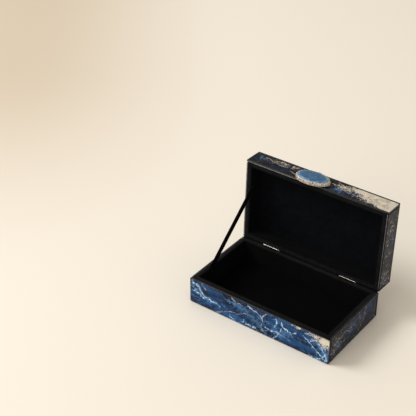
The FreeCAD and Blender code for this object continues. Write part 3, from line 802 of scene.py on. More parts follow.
LID_RIGHT_PAINT = MarblePaint(
    seed=4.0, lift=-0.07, wisp=0.05, web=0.05, gold=0.2, flecks=0.08, tarnish=0.02,
    veins=(gilt((8, 40), (10, 50), (8, 60), width=0.3),),
    leaves=(Leaf((46, 50), (22, 10), 0.3), Leaf((-26, 50), (20, 10), 0.2)),
    haze=0.62, glaze=(0.0400, 0.0420, 0.0470),
)
LID_TOP_PAINT = MarblePaint(
    seed=5.0, lift=0.03, slant=24.0, wisp=0.5, web=0.9, gold=0.8,
    veins=(
        light((-96, 40), (-70, 28), (-52, 34), (-30, 20), (-8, 26), (14, 12), width=0.6),
        light((-90, -30), (-66, -12), (-40, -16), (-20, 2), (6, -4), (30, 10), width=0.7),
        light((40, 44), (52, 26), (48, 8), (64, -10), (90, -16), width=0.6),
        light((-30, 20), (-24, 2)), light((52, 26), (74, 34), (96, 30)),
        light((-40, -16), (-34, -38), (-50, -52)), light((6, -4), (18, -24), (14, -44)),
        gilt((-98, 8), (-74, 2), (-58, 10), (-36, 4), (-18, 14), (8, 40), width=0.5),
        gilt((20, 50), (34, 34), (60, 40), (98, 10), width=0.5),
        gilt((-10, -50), (10, -36), (44, -40), (60, -26), (98, -34), width=0.5),
    ),
    leaves=(Leaf((72, -54), (64, 15)), Leaf((98, -40), (26, 28)), Leaf((-98, -56), (20, 10))),
)
SIDE_PAINT = MarblePaint(
    seed=6.0, lift=0.04, web=0.7, gold=0.5,
    veins=(
        light((-48, 30), (-30, 20), (-10, 22), (6, 10), (30, 14), (50, 4)),
        gilt((-40, 6), (-20, 12), (10, 26), (44, 30)),
    ),
)
BACK_PAINT = MarblePaint(
    seed=7.0, lift=0.05, web=0.8, gold=0.5,
    veins=(
        light((-96, 30), (-70, 18), (-48, 22), (-20, 8), (8, 14), (26, 4), width=0.6),
        light((30, 34), (48, 20), (70, 24), (98, 8), width=0.6),
        light((-48, 22), (-40, 36)), light((70, 24), (80, 36)),
        gilt((-84, 4), (-60, 12), (-30, 30), (0, 26), (30, 30)),
    ),
    leaves=(Leaf((-94, 32), (20, 11)),),
)
LID_BACK_PAINT = MarblePaint(
    seed=8.0, lift=0.02, web=0.8, gold=0.6,
    veins=(
        light((-90, 56), (-66, 46), (-30, 54), (0, 44), (24, 50), width=0.6),
        gilt((10, 40), (40, 52), (70, 44), (98, 54)),
    ),
    leaves=(Leaf((84, 60), (34, 10)),),
)
LID_LEFT_PAINT = MarblePaint(
    seed=9.0, lift=0.0, web=0.6, gold=0.6, flecks=0.1,
    veins=(light((-50, 56), (-24, 46), (4, 54), (30, 44), (50, 50), width=0.6),),
    leaves=(Leaf((-46, 44), (20, 9)),),
)

PANE_PAINTS = {
    "base_front_glass": BASE_FRONT_PAINT,
    "base_right_glass": BASE_RIGHT_PAINT,
    "base_back_glass": BACK_PAINT,
    "base_left_glass": SIDE_PAINT,
    "lid_front_glass": LID_FRONT_PAINT,
    "lid_right_glass": LID_RIGHT_PAINT,
    "lid_back_glass": LID_BACK_PAINT,
    "lid_left_glass": LID_LEFT_PAINT,
    "lid_top_glass": LID_TOP_PAINT,
}


@dataclass(frozen=True)
class GroundEdge:
    """The ground edge of a pane, seen through the glass."""

    name: str
    colour: Colour
    deep: Colour
    dark_beyond: float = 1000.0     # where, along the pane, the edge turns dark, in mm
    clear: tuple[Point, ...] = ((-1.0, 2.0),)   # the shares of the thickness shown pale, in the ground glass's own colour; the thin bands at the arrises are painted highlights

    ROUGH = 0.34
    # the dark of the edge's paint and of painted shade, laid outside the pale bands
    PAINT_AND_SHADE = (0.0060, 0.0072, 0.0100)

    def pale_band_mask(self, graph: Graph) -> Source:
        """Give where the edge shows pale, by how far through the pane a place is."""
        through = graph.node("ShaderNodeAttribute", attribute_name=THROUGH).outputs["Fac"]
        mask: Source = 0.0
        for start, end in self.clear:
            inside = graph.times(graph.remap(through, start - 0.05, start + 0.05),
                                graph.remap(through, end - 0.05, end + 0.05, 1.0, 0.0))
            mask = graph.math("MAXIMUM", mask, inside)
        return mask

    def material(self) -> bpy.types.Material:
        """Make the edge's material, with the grinder's fine scratches across it."""
        finish = Finish(self.name, Coat_Weight=0.08, Coat_Roughness=0.2, Specular_IOR_Level=0.2)
        graph = finish.graph
        place = graph.panel_place()
        cloud = graph.noise(place, 0.22, 4.0, 0.6)
        grain = graph.noise(place, 3.5, 3.0, 0.7)
        tone = graph.weigh(cloud, 0.7, grain)
        along = graph.node("ShaderNodeSeparateXYZ", {0: place}).outputs["X"]
        ragged = graph.add(along, graph.remap(cloud, 0.3, 0.7, -14.0, 14.0, False))
        dark_part = graph.remap(ragged, self.dark_beyond - 6.0, self.dark_beyond + 6.0, 0.0, 0.88)
        colour = graph.ramp(tone, [(0.34, self.deep), (0.62, self.colour)])
        colour = graph.mix(dark_part, colour, self.PAINT_AND_SHADE)
        finish.set("Base Color", graph.mix(self.pale_band_mask(graph), self.PAINT_AND_SHADE, colour))
        finish.smudge(place, self.ROUGH, 0.2)
        finish.bump(grain, 0.25, 0.03 * MM)
        return finish.material


# ------------------------------------------------------------------ other finishes


@dataclass(frozen=True)
class Velvet:
    """Black velvet with a brushed nap."""

    name: str
    nap: Colour
    brush: float
    sheen: float

    DARK = (0.0006, 0.0006, 0.0009)

    def material(self) -> bpy.types.Material:
        """Make the velvet's material."""
        finish = Finish(
            self.name, Roughness=1.0, Specular_IOR_Level=0.08, Sheen_Weight=self.sheen,
            Sheen_Roughness=0.42, Sheen_Tint=(0.62, 0.66, 0.78, 1.0),
        )
        graph = finish.graph
        pile = graph.group(Effects.PILE, Place=graph.object_place(), Brush=self.brush)
        shade = graph.remap(pile["Shade"], 0.0, 1.0, smooth=False)
        finish.set("Base Color", graph.mix(shade, self.DARK, self.nap))
        finish.bump(pile["Height"], 0.7, 0.18 * MM)
        return finish.material


@dataclass(frozen=True)
class Felt:
    """Pressed black felt: matted fibres with no nap."""

    def material(self) -> bpy.types.Material:
        """Make the felt's material."""
        finish = Finish("pressed_felt", Roughness=1.0, Specular_IOR_Level=0.1,
                        Sheen_Weight=0.15, Sheen_Roughness=0.6)
        graph = finish.graph
        place = graph.object_place()
        matted = graph.noise(place, 0.9, 8.0, 0.8, 2.0)
        finish.set("Base Color", graph.ramp(matted, [
            (0.30, (0.004, 0.004, 0.005)), (0.70, (0.020, 0.020, 0.022)),
        ]))
        finish.bump(matted, 0.8, 0.25 * MM)
        return finish.material


@dataclass(frozen=True)
class Satin:
    """Black ribbed satin ribbon."""

    def material(self) -> bpy.types.Material:
        """Make the ribbon's material; its ribs are in the mesh and its threads are here."""
        finish = Finish("ribbon_satin", Specular_IOR_Level=0.16, Sheen_Weight=0.03,
                        Sheen_Roughness=0.3, Anisotropic=0.5)
        graph = finish.graph
        place = graph.panel_place()
        threads = graph.node(
            "ShaderNodeTexWave", {"Vector": place, "Scale": 1.9, "Distortion": 0.6, "Detail": 2.0},
            bands_direction="Y",
        ).outputs["Fac"]
        uneven = graph.noise(place, 0.3, 4.0, 0.6)
        tone = graph.weigh(threads, 0.4, uneven)
        finish.set("Base Color", graph.ramp(tone, [
            (0.25, (0.0008, 0.0008, 0.0010)), (0.75, (0.0045, 0.0045, 0.0054)),
        ]))
        finish.set("Roughness", graph.remap(uneven, 0.3, 0.7, 0.42, 0.62))
        finish.bump(threads, 0.5, 0.05 * MM)
        return finish.material


@dataclass(frozen=True)
class LacqueredBoard:
    """Board painted near-black, its fine grain showing through."""

    def material(self) -> bpy.types.Material:
        """Make the board's material."""
        finish = Finish("lacquered_board", Coat_Weight=0.15, Coat_Roughness=0.3)
        graph = finish.graph
        place = graph.object_place()
        drawn = graph.vector("MULTIPLY", place, (0.06, 1.0, 1.0))
        grain = graph.noise(drawn, 0.9, 6.0, 0.65, 0.4)
        finish.set("Base Color", graph.ramp(grain, [
            (0.35, (0.0030, 0.0032, 0.0045)), (0.70, (0.0110, 0.0110, 0.0135)),
        ]))
        finish.smudge(place, 0.5, 0.25)
        finish.bump(grain, 0.35, 0.08 * MM)
        return finish.material


@dataclass(frozen=True)
class PlatedMetal:
    """Plated metal, drawn along one axis and a little smudged."""

    name: str
    bright: Colour
    dull: Colour
    rough: float = 0.16
    worn: bool = False      # painted highlight: a narrow bright band along the top of the barrel, with painted shade dark below it

    def material(self) -> bpy.types.Material:
        """Make the metal's material."""
        finish = Finish(self.name, Metallic=1.0)
        graph = finish.graph
        place = graph.object_place()
        drawn = graph.vector("MULTIPLY", place, (0.15, 3.0, 3.0))
        lines = graph.noise(drawn, 1.6, 4.0, 0.7)
        spots = graph.noise(place, 0.5, 5.0, 0.7, 0.5)
        colour = graph.ramp(graph.weigh(spots, 0.6, lines), [(0.36, self.dull), (0.60, self.bright)])
        if self.worn:
            # painted highlight and painted shade: bright only in a narrow band facing up and forward,
            # near black elsewhere
            out = graph.vector("SUBTRACT", place, tuple(LID.axis_point / MM))
            height = graph.node("ShaderNodeVectorMath", {0: out, 1: (0.0, -0.50, 0.87)},
                                operation="DOT_PRODUCT").outputs["Value"]
            painted_highlight_band = graph.remap(height, 1.20, 1.33)
            colour = graph.mix(painted_highlight_band, (0.0150, 0.0145, 0.0140), colour)
        finish.set("Base Color", colour)
        finish.smudge(place, self.rough, 0.3)
        finish.bump(lines, 0.12, 0.03 * MM)
        return finish.material


@dataclass(frozen=True)
class Agate:
    """Polished blue agate: cloudy in the middle, with pale bands and flecks at the rim."""

    half: Point
    centre: Point

    def material(self) -> bpy.types.Material:
        """Make the stone's material from its place on the pull."""
        finish = Finish("blue_agate", Roughness=0.35, Coat_Weight=0.22, Coat_Roughness=0.08,
                        Subsurface_Weight=0.08, Subsurface_Scale=0.002,
                        Subsurface_Radius=(0.4, 0.8, 1.6))
        graph = finish.graph
        place = graph.panel_place()
        flat = graph.vector("MULTIPLY", place, (1.0, 1.0, 0.0))
        out = graph.vector("DIVIDE", graph.vector("SUBTRACT", flat, (*self.centre, 0.0)),
                           (*self.half, 1.0))
        wave = graph.noise(place, 0.09, 4.0, 0.6, 0.8)
        reach = graph.add(graph.vector("LENGTH", out), graph.remap(wave, 0.3, 0.7, -0.09, 0.09))
        cloud = graph.noise(place, 0.16, 6.0, 0.68, 1.0)
        colour = graph.ramp(cloud, [
            (0.34, (0.002, 0.038, 0.125)), (0.46, (0.003, 0.074, 0.200)),
            (0.58, (0.006, 0.106, 0.260)), (0.72, (0.040, 0.175, 0.340)),
        ])
        milky = graph.noise(place, 0.35, 6.0, 0.75, 0.6)
        middle = graph.times(graph.remap(milky, 0.50, 0.66, 0.0, 0.6), graph.remap(reach, 0.75, 0.1))
        colour = graph.mix(middle, colour, (0.085, 0.240, 0.370))
        rings = graph.node(
            "ShaderNodeTexWave",
            {"Vector": graph.node("ShaderNodeCombineXYZ", {"X": reach}).outputs[0],
             "Scale": 7.0, "Distortion": 0.8, "Detail": 2.0},
            bands_direction="X",
        ).outputs["Fac"]
        banding = graph.times(graph.remap(rings, 0.45, 0.95), graph.remap(reach, 0.45, 1.0, 0.0, 0.22))
        colour = graph.mix(banding, colour, (0.050, 0.200, 0.450))
        flecks = graph.noise(place, 0.40, 5.0, 0.72)
        edge = graph.times(graph.remap(flecks, 0.50, 0.60, 0.0, 0.85), graph.remap(reach, 0.72, 0.96))
        colour = graph.mix(edge, colour, (0.240, 0.480, 0.780))
        # the stone's own pale edge, brightened as a painted highlight on the eased edge of the face
        rim = graph.remap(reach, 0.935, 1.00, 0.0, 0.75)
        finish.set("Base Color", graph.mix(rim, colour, (0.130, 0.340, 0.640)))
        return finish.material


@dataclass(frozen=True)
class GiltRind:
    """The rough rind, brushed with champagne gilding."""

    def material(self) -> bpy.types.Material:
        """Make the rind's material, bright on its bumps as painted highlight and grey in its pits as
        painted shade.
        """
        finish = Finish("gilt_rind", Specular_IOR_Level=0.6)
        graph = finish.graph
        place = graph.object_place()
        pits = graph.noise(place, 0.55, 6.0, 0.75, 0.5)
        grit = graph.noise(place, 2.2, 4.0, 0.75)
        tone = graph.weigh(pits, 0.65, grit)
        # painted highlight and painted shade over the gilding's own uneven tone: the colour follows the
        # bump's tone, so pits come out grey and the highest grains near white
        finish.set("Base Color", graph.ramp(tone, [
            (0.41, (0.090, 0.078, 0.064)), (0.47, (0.380, 0.330, 0.270)),
            (0.53, (0.740, 0.690, 0.600)), (0.61, (0.960, 0.940, 0.890)),
        ]))
        finish.set("Metallic", graph.remap(tone, 0.42, 0.60, 0.15, 0.65))
        finish.set("Roughness", graph.remap(grit, 0.3, 0.7, 0.55, 0.28))
        finish.bump(tone, 0.9, 0.5 * MM)
        return finish.material


# ------------------------------------------------------------------ mesh tools


def add_object(name: str, data: bpy.types.ID) -> bpy.types.Object:
    """Put a mesh, a light or a camera in the scene."""
    made = bpy.data.objects.new(name, data)
    bpy.context.scene.collection.objects.link(made)
    return made


def new_piece(name: str, points: np.ndarray, faces: list[Face], smooth: bool = True) -> bpy.types.Object:
    """Make a mesh object from points and faces, in the row frame.

    Args:
        name: The piece's name.
        points: One row for each vertex, in metres.
        faces: Corner numbers, counterclockwise seen from outside.
        smooth: Whether the faces are shaded smooth.

    Returns:
        The new object, welded, with its faces pointing outwards.
    """
    mesh = bpy.data.meshes.new(name)
    mesh.from_pydata([tuple(p) for p in points], [], faces)
    shape = bmesh.new()
    shape.from_mesh(mesh)
    bmesh.ops.remove_doubles(shape, verts=shape.verts, dist=WELD)
    bmesh.ops.recalc_face_normals(shape, faces=shape.faces)
    shape.to_mesh(mesh)
    shape.free()
    if smooth:
        mesh.shade_smooth()
    else:
        mesh.shade_flat()
    return add_object(name, mesh)


def skin_faces(rows: int, columns: int, ring: bool = False) -> list[Face]:
    """Give the faces of a skin over rows of points, each row a closed loop.

    Args:
        rows: How many rows there are.
        columns: How many points each row has.
        ring: Whether the last row joins the first.

    Returns:
        The corner numbers of each face.
    """
    faces: list[Face] = []
    for row in range(rows if ring else rows - 1):
        start, ahead = row * columns, (row + 1) % rows * columns
        for i in range(columns):
            beside = (i + 1) % columns
            faces.append((start + i, start + beside, ahead + beside, ahead + i))
    return faces


def store(piece: bpy.types.Object, values: list[float]) -> None:
    """Store each vertex's place, three values for each, in millimetres."""
    attribute = piece.data.attributes.new(PLACE, "FLOAT_VECTOR", "POINT")
    attribute.data.foreach_set("vector", values)


def write_place(piece: bpy.types.Object, across: Vector, up: Vector, home: Matrix) -> None:
    """Store each vertex's place on its own panel, in millimetres.

    Args:
        piece: The piece to write to.
        across: The panel's first direction, with the lid shut.
        up: The panel's second direction.
        home: The turn that takes the piece to the shut box.
    """
    out = across.cross(up)
    values = []
    for vertex in piece.data.vertices:
        point = home @ vertex.co
        values += [point.dot(across) / MM, point.dot(up) / MM, point.dot(out) / MM * DEPTH_SHARE]
    store(piece, values)


def finish_piece(piece: bpy.types.Object, material: bpy.types.Material | None,
                 node: str) -> None:
    """Dress a piece, put it on the body of the node that it stands for, and hide that."""
    if material:
        piece.data.materials.append(material)
    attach(piece, frame["nodes"][node]["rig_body"])
    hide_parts(node)
    log.info("%s: %d faces, stands for %s", piece.name, len(piece.data.polygons), node)


def open_with_lid(piece: bpy.types.Object, node: str) -> None:
    """Turn a piece that was drawn shut to where its node stands open."""
    if LID.is_lid(node):
        piece.data.transform(LID.opening)


def grid_lines(low: float, high: float, radius: float, spacing: float) -> list[float]:
    """Give the lines of a grid along one side, close together where its edges are round."""
    steps = (0.0, 0.12, 0.3, 0.6, 1.0)
    near = [low + radius * step for step in steps]
    far = [high - radius * step for step in reversed(steps)]
    count = max(1, round((far[0] - near[-1]) / spacing))
    middle = [near[-1] + (far[0] - near[-1]) * i / count for i in range(1, count)]
    return near + middle + far


def soft_block(name: str, low: Vector, high: Vector, radius: float, spacing: float,
               crown: dict[int, float] | None = None, ripple: float = 0.0,
               seed: int = 0) -> bpy.types.Object:
    """Make a covered block with round edges, which may be crowned and gently uneven.

    Args:
        name: The piece's name.
        low: Its lowest corner.
        high: Its highest corner.
        radius: The radius of its edges.
        spacing: How far apart its grid lines are on flat ground.
        crown: How far the middle of a side stands out: signed axis number, 1 to 3, to metres.
        ripple: How deep its surface is uneven.
        seed: Which unevenness.

    Returns:
        The new object.
    """
    lines = [grid_lines(low[i], high[i], radius, spacing) for i in range(3)]
    points, faces = [], []
    for axis in range(3):
        first, second = [i for i in range(3) if i != axis]
        for end in (low[axis], high[axis]):
            start = len(points)
            for a in lines[first]:
                for b in lines[second]:
                    point = [0.0, 0.0, 0.0]
                    point[axis], point[first], point[second] = end, a, b
                    points.append(point)
            across = len(lines[second])
            for i in range(len(lines[first]) - 1):
                for j in range(across - 1):
                    corner = start + i * across + j
                    faces.append((corner, corner + 1, corner + across + 1, corner + across))
    place = np.array(points)
    inner_low = np.array(low) + radius
    inner_high = np.array(high) - radius
    core = np.clip(place, inner_low, inner_high)
    out = place - core
    length = np.maximum(np.linalg.norm(out, axis=1, keepdims=True), 1e-9)
    place = core + out / length * radius
    place += surface_swell(place, out / length, low, high, crown or {}, ripple, seed)
    return new_piece(name, place, faces)


def surface_swell(place: np.ndarray, normal: np.ndarray, low: Vector, high: Vector,
                  crown: dict[int, float], ripple: float, seed: int) -> np.ndarray:
    """Work out how far each point of a block stands out from its flat side.

    Args:
        place: The points.
        normal: Which way each point faces.
        low: The block's lowest corner.
        high: Its highest corner.
        crown: As in soft_block.
        ripple: As in soft_block.
        seed: As in soft_block.

    Returns:
        The moves, one row for each point.
    """
    share = (place - np.array(low)) / (np.array(high) - np.array(low))
    dome = np.sin(np.clip(share, 0, 1) * math.pi)
    moves = np.zeros_like(place)
    for side, height in crown.items():
        axis = abs(side) - 1
        others = [i for i in range(3) if i != axis]
        facing = np.clip(normal[:, axis] * math.copysign(1, side), 0, 1) ** 4
        rise = (dome[:, others[0]] * dome[:, others[1]]) ** 0.35
        moves[:, axis] += math.copysign(height, side) * facing * rise
    if ripple:
        waves = random.Random(seed)
        total = np.zeros(len(place))
        for _ in range(RIPPLES):
            direction = np.array([waves.uniform(-1, 1) for _ in range(3)])
            direction *= 2 * math.pi / waves.uniform(*RIPPLE_LENGTHS) / np.linalg.norm(direction)
            total += np.sin(place @ direction + waves.uniform(0, 2 * math.pi))
        fade = np.clip(np.abs(normal).max(axis=1) * 4 - 3, 0, 1)
        inner = np.clip(np.prod(np.sqrt(np.clip(dome, 0.02, 1)), axis=1) * 3, 0, 1)
        moves -= normal * (ripple * (0.5 + total / (2 * RIPPLES)) * fade * inner)[:, None]
    return moves


# ------------------------------------------------------------------ the panes


class Panes:
    """The nine panes of painted glass."""

    ARRIS = 0.12 * MM
    # These edges are one ground glass in copies coloured as painted light and shade: paler where an edge
    # faces the lamps, darker where it is in shade.
    FRONT_EDGE = GroundEdge(
        "lid_front_edge", (0.260, 0.250, 0.230), (0.090, 0.088, 0.086), dark_beyond=-24.0,
        clear=((0.46, 0.94),),
    )
    LEFT_EDGE = GroundEdge(
        "lid_left_edge", (0.210, 0.205, 0.195), (0.080, 0.080, 0.080), clear=((-1.0, 0.62),)
    )
    RIGHT_EDGE = GroundEdge(
        "lid_right_edge", (0.190, 0.190, 0.190), (0.060, 0.060, 0.062), clear=((0.55, 0.86),)
    )
    BROWN_EDGE = GroundEdge(
        "base_front_edge", (0.0720, 0.0610, 0.0500), (0.0110, 0.0100, 0.0100), clear=((-1.0, 0.34),)
    )
    LINED_EDGE = GroundEdge(
        "base_side_edge", (0.130, 0.125, 0.118), (0.050, 0.050, 0.050),
        clear=((-1.0, 0.14), (0.80, 0.95)),
    )
    DARK_EDGE = GroundEdge("dark_ground_edge", (0.0100, 0.0120, 0.0160), (0.0040, 0.0050, 0.0070))

    def __init__(self) -> None:
        """Make the edge materials that the panes share."""
        left, lined = self.LEFT_EDGE.material(), self.LINED_EDGE.material()
        self.plain_edge = self.DARK_EDGE.material()
        self.rim_edges = {
            "base_front_glass": self.BROWN_EDGE.material(), "base_left_glass": lined,
            "base_right_glass": lined, "lid_front_glass": self.FRONT_EDGE.material(),
            "lid_left_glass": left, "lid_right_glass": self.RIGHT_EDGE.material(),
        }
        # painted light: the left pane, on the lamps' side, shows its pale edge on its ends too; the other
        # ends keep the dark edge as painted shade
        self.end_edges = {"lid_left_glass": left}

    @staticmethod
    def directions(node: str) -> tuple[Vector, Vector, Vector]:
        """Give a pane's across, up and outward directions, with the lid shut."""
        x, y, z = Vector((1, 0, 0)), Vector((0, 1, 0)), Vector((0, 0, 1))
        return {
            "front": (x, z, -y), "back": (x, z, y), "left": (y, z, -x), "right": (y, z, x),
            "top": (x, y, z),
        }[node.split("_")[1]]

    def build(self, node: str, paint: MarblePaint) -> None:
        """Make one pane: painted face, light ground rim edge and dark end edges."""
        home = LID.shutting if LID.is_lid(node) else Matrix.Identity(4)
        across, up, out = self.directions(node)
        mesh = bpy.data.meshes.new(f"{node}_pane")
        shape = bmesh.new()
        shape.from_mesh(frame["nodes"][node].data)
        bmesh.ops.remove_doubles(shape, verts=shape.verts, dist=WELD)
        bmesh.ops.dissolve_limit(shape, angle_limit=math.radians(1), verts=shape.verts, edges=shape.edges)
        rim_side = 1.0 if node.startswith("base") else -1.0
        turn = home.to_3x3()
        for face in shape.faces:
            normal = turn @ face.normal
            facing = abs(normal.dot(out))
            rim = normal.z * rim_side > 0.5 and "top" not in node
            face.material_index = 0 if facing > 0.9 else (1 if rim else 2)
            face.smooth = False
        shape.to_mesh(mesh)
        shape.free()
        pane = add_object(f"{node}_pane", mesh)
        write_place(pane, across, up, home)
        depths = np.array([(home @ vertex.co).dot(out) for vertex in mesh.vertices])
        through = mesh.attributes.new(THROUGH, "FLOAT", "POINT")
        through.data.foreach_set("value", (depths.max() - depths) / np.ptp(depths))
        mesh.materials.append(paint.material(f"{node}_paint"))
        for edges in (self.rim_edges, self.end_edges):
            mesh.materials.append(edges.get(node, self.plain_edge))
        soften = pane.modifiers.new("arris", "BEVEL")
        soften.width = self.ARRIS
        soften.segments = 2
        soften.limit_method = "ANGLE"
        finish_piece(pane, None, node)

    def build_all(self) -> None:
        """Make every pane."""
        for node, paint in PANE_PAINTS.items():
            self.build(node, paint)


# ------------------------------------------------------------------ the linings


@dataclass
class Linings:
    """The velvet-covered cards, rim strips and pads, and the felt."""

    card_round: float = 0.55 * MM
    pad_round: float = 1.2 * MM
    spacing: float = 3.0 * MM
    ripple: float = 0.10 * MM
    floor_crown: float = 0.5 * MM
    ceiling_crown: float = 0.45 * MM
    mitre_dip: float = 0.75     # how much of its thickness a rim keeps along its mitres
    pad_fill: float = 0.8

    def __post_init__(self) -> None:
        """Make the velvets, lit and shaded copies of one black velvet: the walls' own, the pads' own with
        the floor pad's darkest as painted shade, and a paler, shinier one on the rims as painted light.
        """
        # lit and shaded copies of one velvet: the rims' is paler and shinier as painted light, the floor
        # pad's darkest as painted shade, the ceiling's bluer
        self.velvet = Velvet("lining_velvet", (0.0030, 0.0032, 0.0042), 0.3, 0.03).material()
        self.rim_velvet = Velvet("rim_velvet", (0.0100, 0.0105, 0.0125), 0.5, 0.14).material()
        floor = Velvet("floor_velvet", (0.0007, 0.0009, 0.0015), 0.4, 0.0)
        ceiling = Velvet("ceiling_velvet", (0.0034, 0.0052, 0.0090), 0.4, 0.04)
        self.pad_velvets = {"base_floor_pad": floor.material(), "lid_ceiling_pad": ceiling.material()}

    def card(self, half: str, side: str, number: int) -> None:
        """Make one wall card, its velvet rolled over the upper edge."""
        node = f"{half}_{side}_liner"
        low, high = LID.home_box(node)
        card = soft_block(f"{half}_{side}_card", low, high, self.card_round, self.spacing,
                          ripple=self.ripple, seed=number)
        open_with_lid(card, node)
        finish_piece(card, self.velvet, node)

    def pad(self, node: str, side: int, height: float, number: int) -> None:
        """Make a thin foam pad under velvet, crowned on the side that shows."""
        low, high = LID.home_box(node)
        pad = soft_block(f"{node}_cover", low, high, self.pad_round, self.spacing,
                         crown={side: height}, ripple=self.ripple, seed=number)
        open_with_lid(pad, node)
        finish_piece(pad, self.pad_velvets[node], node)

    def rim(self, half: str) -> None:
        """Make the velvet strip on a rim, mitred at its four corners."""
        node = f"{half}_rim_lining"
        low, high = LID.home_box(node)
        card_low = LID.home_box(f"{half}_front_liner")[0]
        thick = high.z - low.z
        wide = card_low.y - low.y
        inner_x = high.x - wide
        inner_y = high.y - wide
        up = 1 if half == "base" else -1
        seat = low.z if half == "base" else high.z
        outer = [(low.x, low.y), (high.x, low.y), (high.x, high.y), (low.x, high.y)]
        inner = [(-inner_x, -inner_y), (inner_x, -inner_y), (inner_x, inner_y), (-inner_x, inner_y)]
        half_way = [(0.0, 0.0), (0.0, 0.45), (0.015, 0.75), (0.05, 0.93), (0.12, 1.0), (0.3, 1.0)]
        profile = half_way + [(0.5, 1.0)] + [(1 - across, rise) for across, rise in half_way[::-1]]
        points: list[tuple[float, float, float]] = []
        for corner in range(4):
            following = (corner + 1) % 4
            ends = [Vector(outer[corner]), Vector(outer[following]),
                    Vector(inner[corner]), Vector(inner[following])]
            steps = max(2, round((ends[1] - ends[0]).length / self.spacing))
            for step in range(steps):
                share = step / steps
                dip = self.mitre_dip if step == 0 else 1.0
                for across, rise in profile:
                    spot = ends[0].lerp(ends[1], share).lerp(ends[2].lerp(ends[3], share), across)
                    points.append((spot.x, spot.y, seat + up * thick * min(rise, dip)))
        faces = skin_faces(len(points) // len(profile), len(profile), ring=True)
        strip = new_piece(f"{half}_rim_strip", np.array(points), faces)
        open_with_lid(strip, node)
        finish_piece(strip, self.rim_velvet, node)

    def felt(self) -> None:
        """Make the sheet of felt under the box."""
        low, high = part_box("base_felt")
        felt = soft_block("felt_sheet", low, high, 0.4 * MM, 5 * MM)
        finish_piece(felt, Felt().material(), "base_felt")

    def build(self) -> None:
        """Make every lining."""
        number = 0
        for half in ("base", "lid"):
            for side in ("front", "back", "left", "right"):
                number += 1
                self.card(half, side, number)
            self.rim(half)
        self.pad("base_floor_pad", 3, self.floor_crown, 21)
        self.pad("lid_ceiling_pad", -3, self.ceiling_crown, 22)
        self.felt()


# ------------------------------------------------------------------ the ribbon stay


@dataclass
class RibbonStay:
    """The taut ribbon: ribbed satin from a slit in the base's lining to one in the lid's."""

    rib_pitch: float = 0.55 * MM
    thick: float = 0.36 * MM
    rib_depth: float = 0.035 * MM
    bend_radius: float = 0.9 * MM

    def measure(self) -> tuple[Vector, Vector, float, float, float, float]:
        """Read the strip's line, width and depth from its CAD node.

        Returns:
            Where the run starts, its direction, its length, its width, and the outer and
            inner x of the whole piece.
        """
        places = np.array([tuple(v.co) for v in frame["nodes"]["stay_ribbon"].data.vertices])
        centred = places[:, 1:] - places[:, 1:].mean(axis=0)
        run_yz = np.linalg.svd(centred, full_matrices=False)[2][0]
        run_yz *= math.copysign(1, run_yz[1])
        along = places[:, 1:] @ run_yz
        across_yz = np.array([-run_yz[1], run_yz[0]])
        across = places[:, 1:] @ across_yz
        middle = (across.min() + across.max()) / 2
        start = run_yz * along.min() + across_yz * middle
        return (
            Vector((0.0, start[0], start[1])), Vector((0.0, run_yz[0], run_yz[1])),
            float(along.max() - along.min()), float(across.max() - across.min()),
            float(places[:, 0].min()), float(places[:, 0].max()),
        )

    def path(self, length: float, outer_x: float, inner_x: float) -> list[Point]:
        """Give the ribbon's line as (x, along) through both slits, with its two bends round."""
        run_x = inner_x - self.thick * 0.7
        half = self.thick / 2
        arc = [math.radians(a) for a in range(0, 91, 15)]
        radius = self.bend_radius
        low = [(run_x - radius + radius * math.sin(a), half + radius - radius * math.cos(a)) for a in arc]
        high = [(x, length - along) for x, along in reversed(low)]
        tail = [(outer_x + 0.05 * MM, half)]
        steps = round((high[0][1] - low[-1][1]) / (self.rib_pitch / 2))
        run = [(run_x, low[-1][1] + (high[0][1] - low[-1][1]) * i / steps) for i in range(1, steps)]
        return tail + low + run + high + [(outer_x + 0.05 * MM, length - half)]

    def build(self) -> None:
        """Make the ribbon and bend it between the two bodies."""
        start, run, length, width, outer_x, inner_x = self.measure()
        across = Vector((0.0, -run.z, run.y))
        line = self.path(length, outer_x, inner_x)
        stations = [-1.0, -0.86, -0.72, -0.4, 0.0, 0.4, 0.72, 0.86, 1.0]
        points: list[Vector] = []
        places: list[float] = []
        travelled = 0.0
        for index, (x, along) in enumerate(line):
            before = line[max(index - 1, 0)]
            after = line[min(index + 1, len(line) - 1)]
            heading = Vector((after[0] - before[0], after[1] - before[1])).normalized()
            travelled += math.dist(before, (x, along))
            centre = start + run * along + Vector((x, 0.0, 0.0))
            normal = Vector((heading.y, 0.0, 0.0)) - run * heading.x
            rib = self.rib_depth * (1 if index % 2 else -1)
            for side in (1, -1):
                for station in stations[:: side]:
                    edge = abs(station) > 0.8
                    body = self.thick / 2 + (0.02 * MM if edge else rib)
                    if abs(station) == 1.0:
                        body = self.thick * 0.25
                    points.append(centre + across * (station * width / 2) + normal * (side * body))
                    places += [travelled / MM, station * width / 2 / MM, 0.0]
        ring = 2 * len(stations)
        faces = skin_faces(len(line), ring)
        faces += [tuple(range(ring)), tuple(range(len(points) - 1, len(points) - ring - 1, -1))]
        ribbon = new_piece("stay_ribbon_satin", np.array(points), faces)
        store(ribbon, places)
        ribbon.data.materials.append(Satin().material())
        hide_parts("stay_ribbon")
        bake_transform(ribbon)
        log.info("stay ribbon: %d faces over %.1f mm", len(ribbon.data.polygons), travelled / MM)


# ------------------------------------------------------------------ the joint's tape


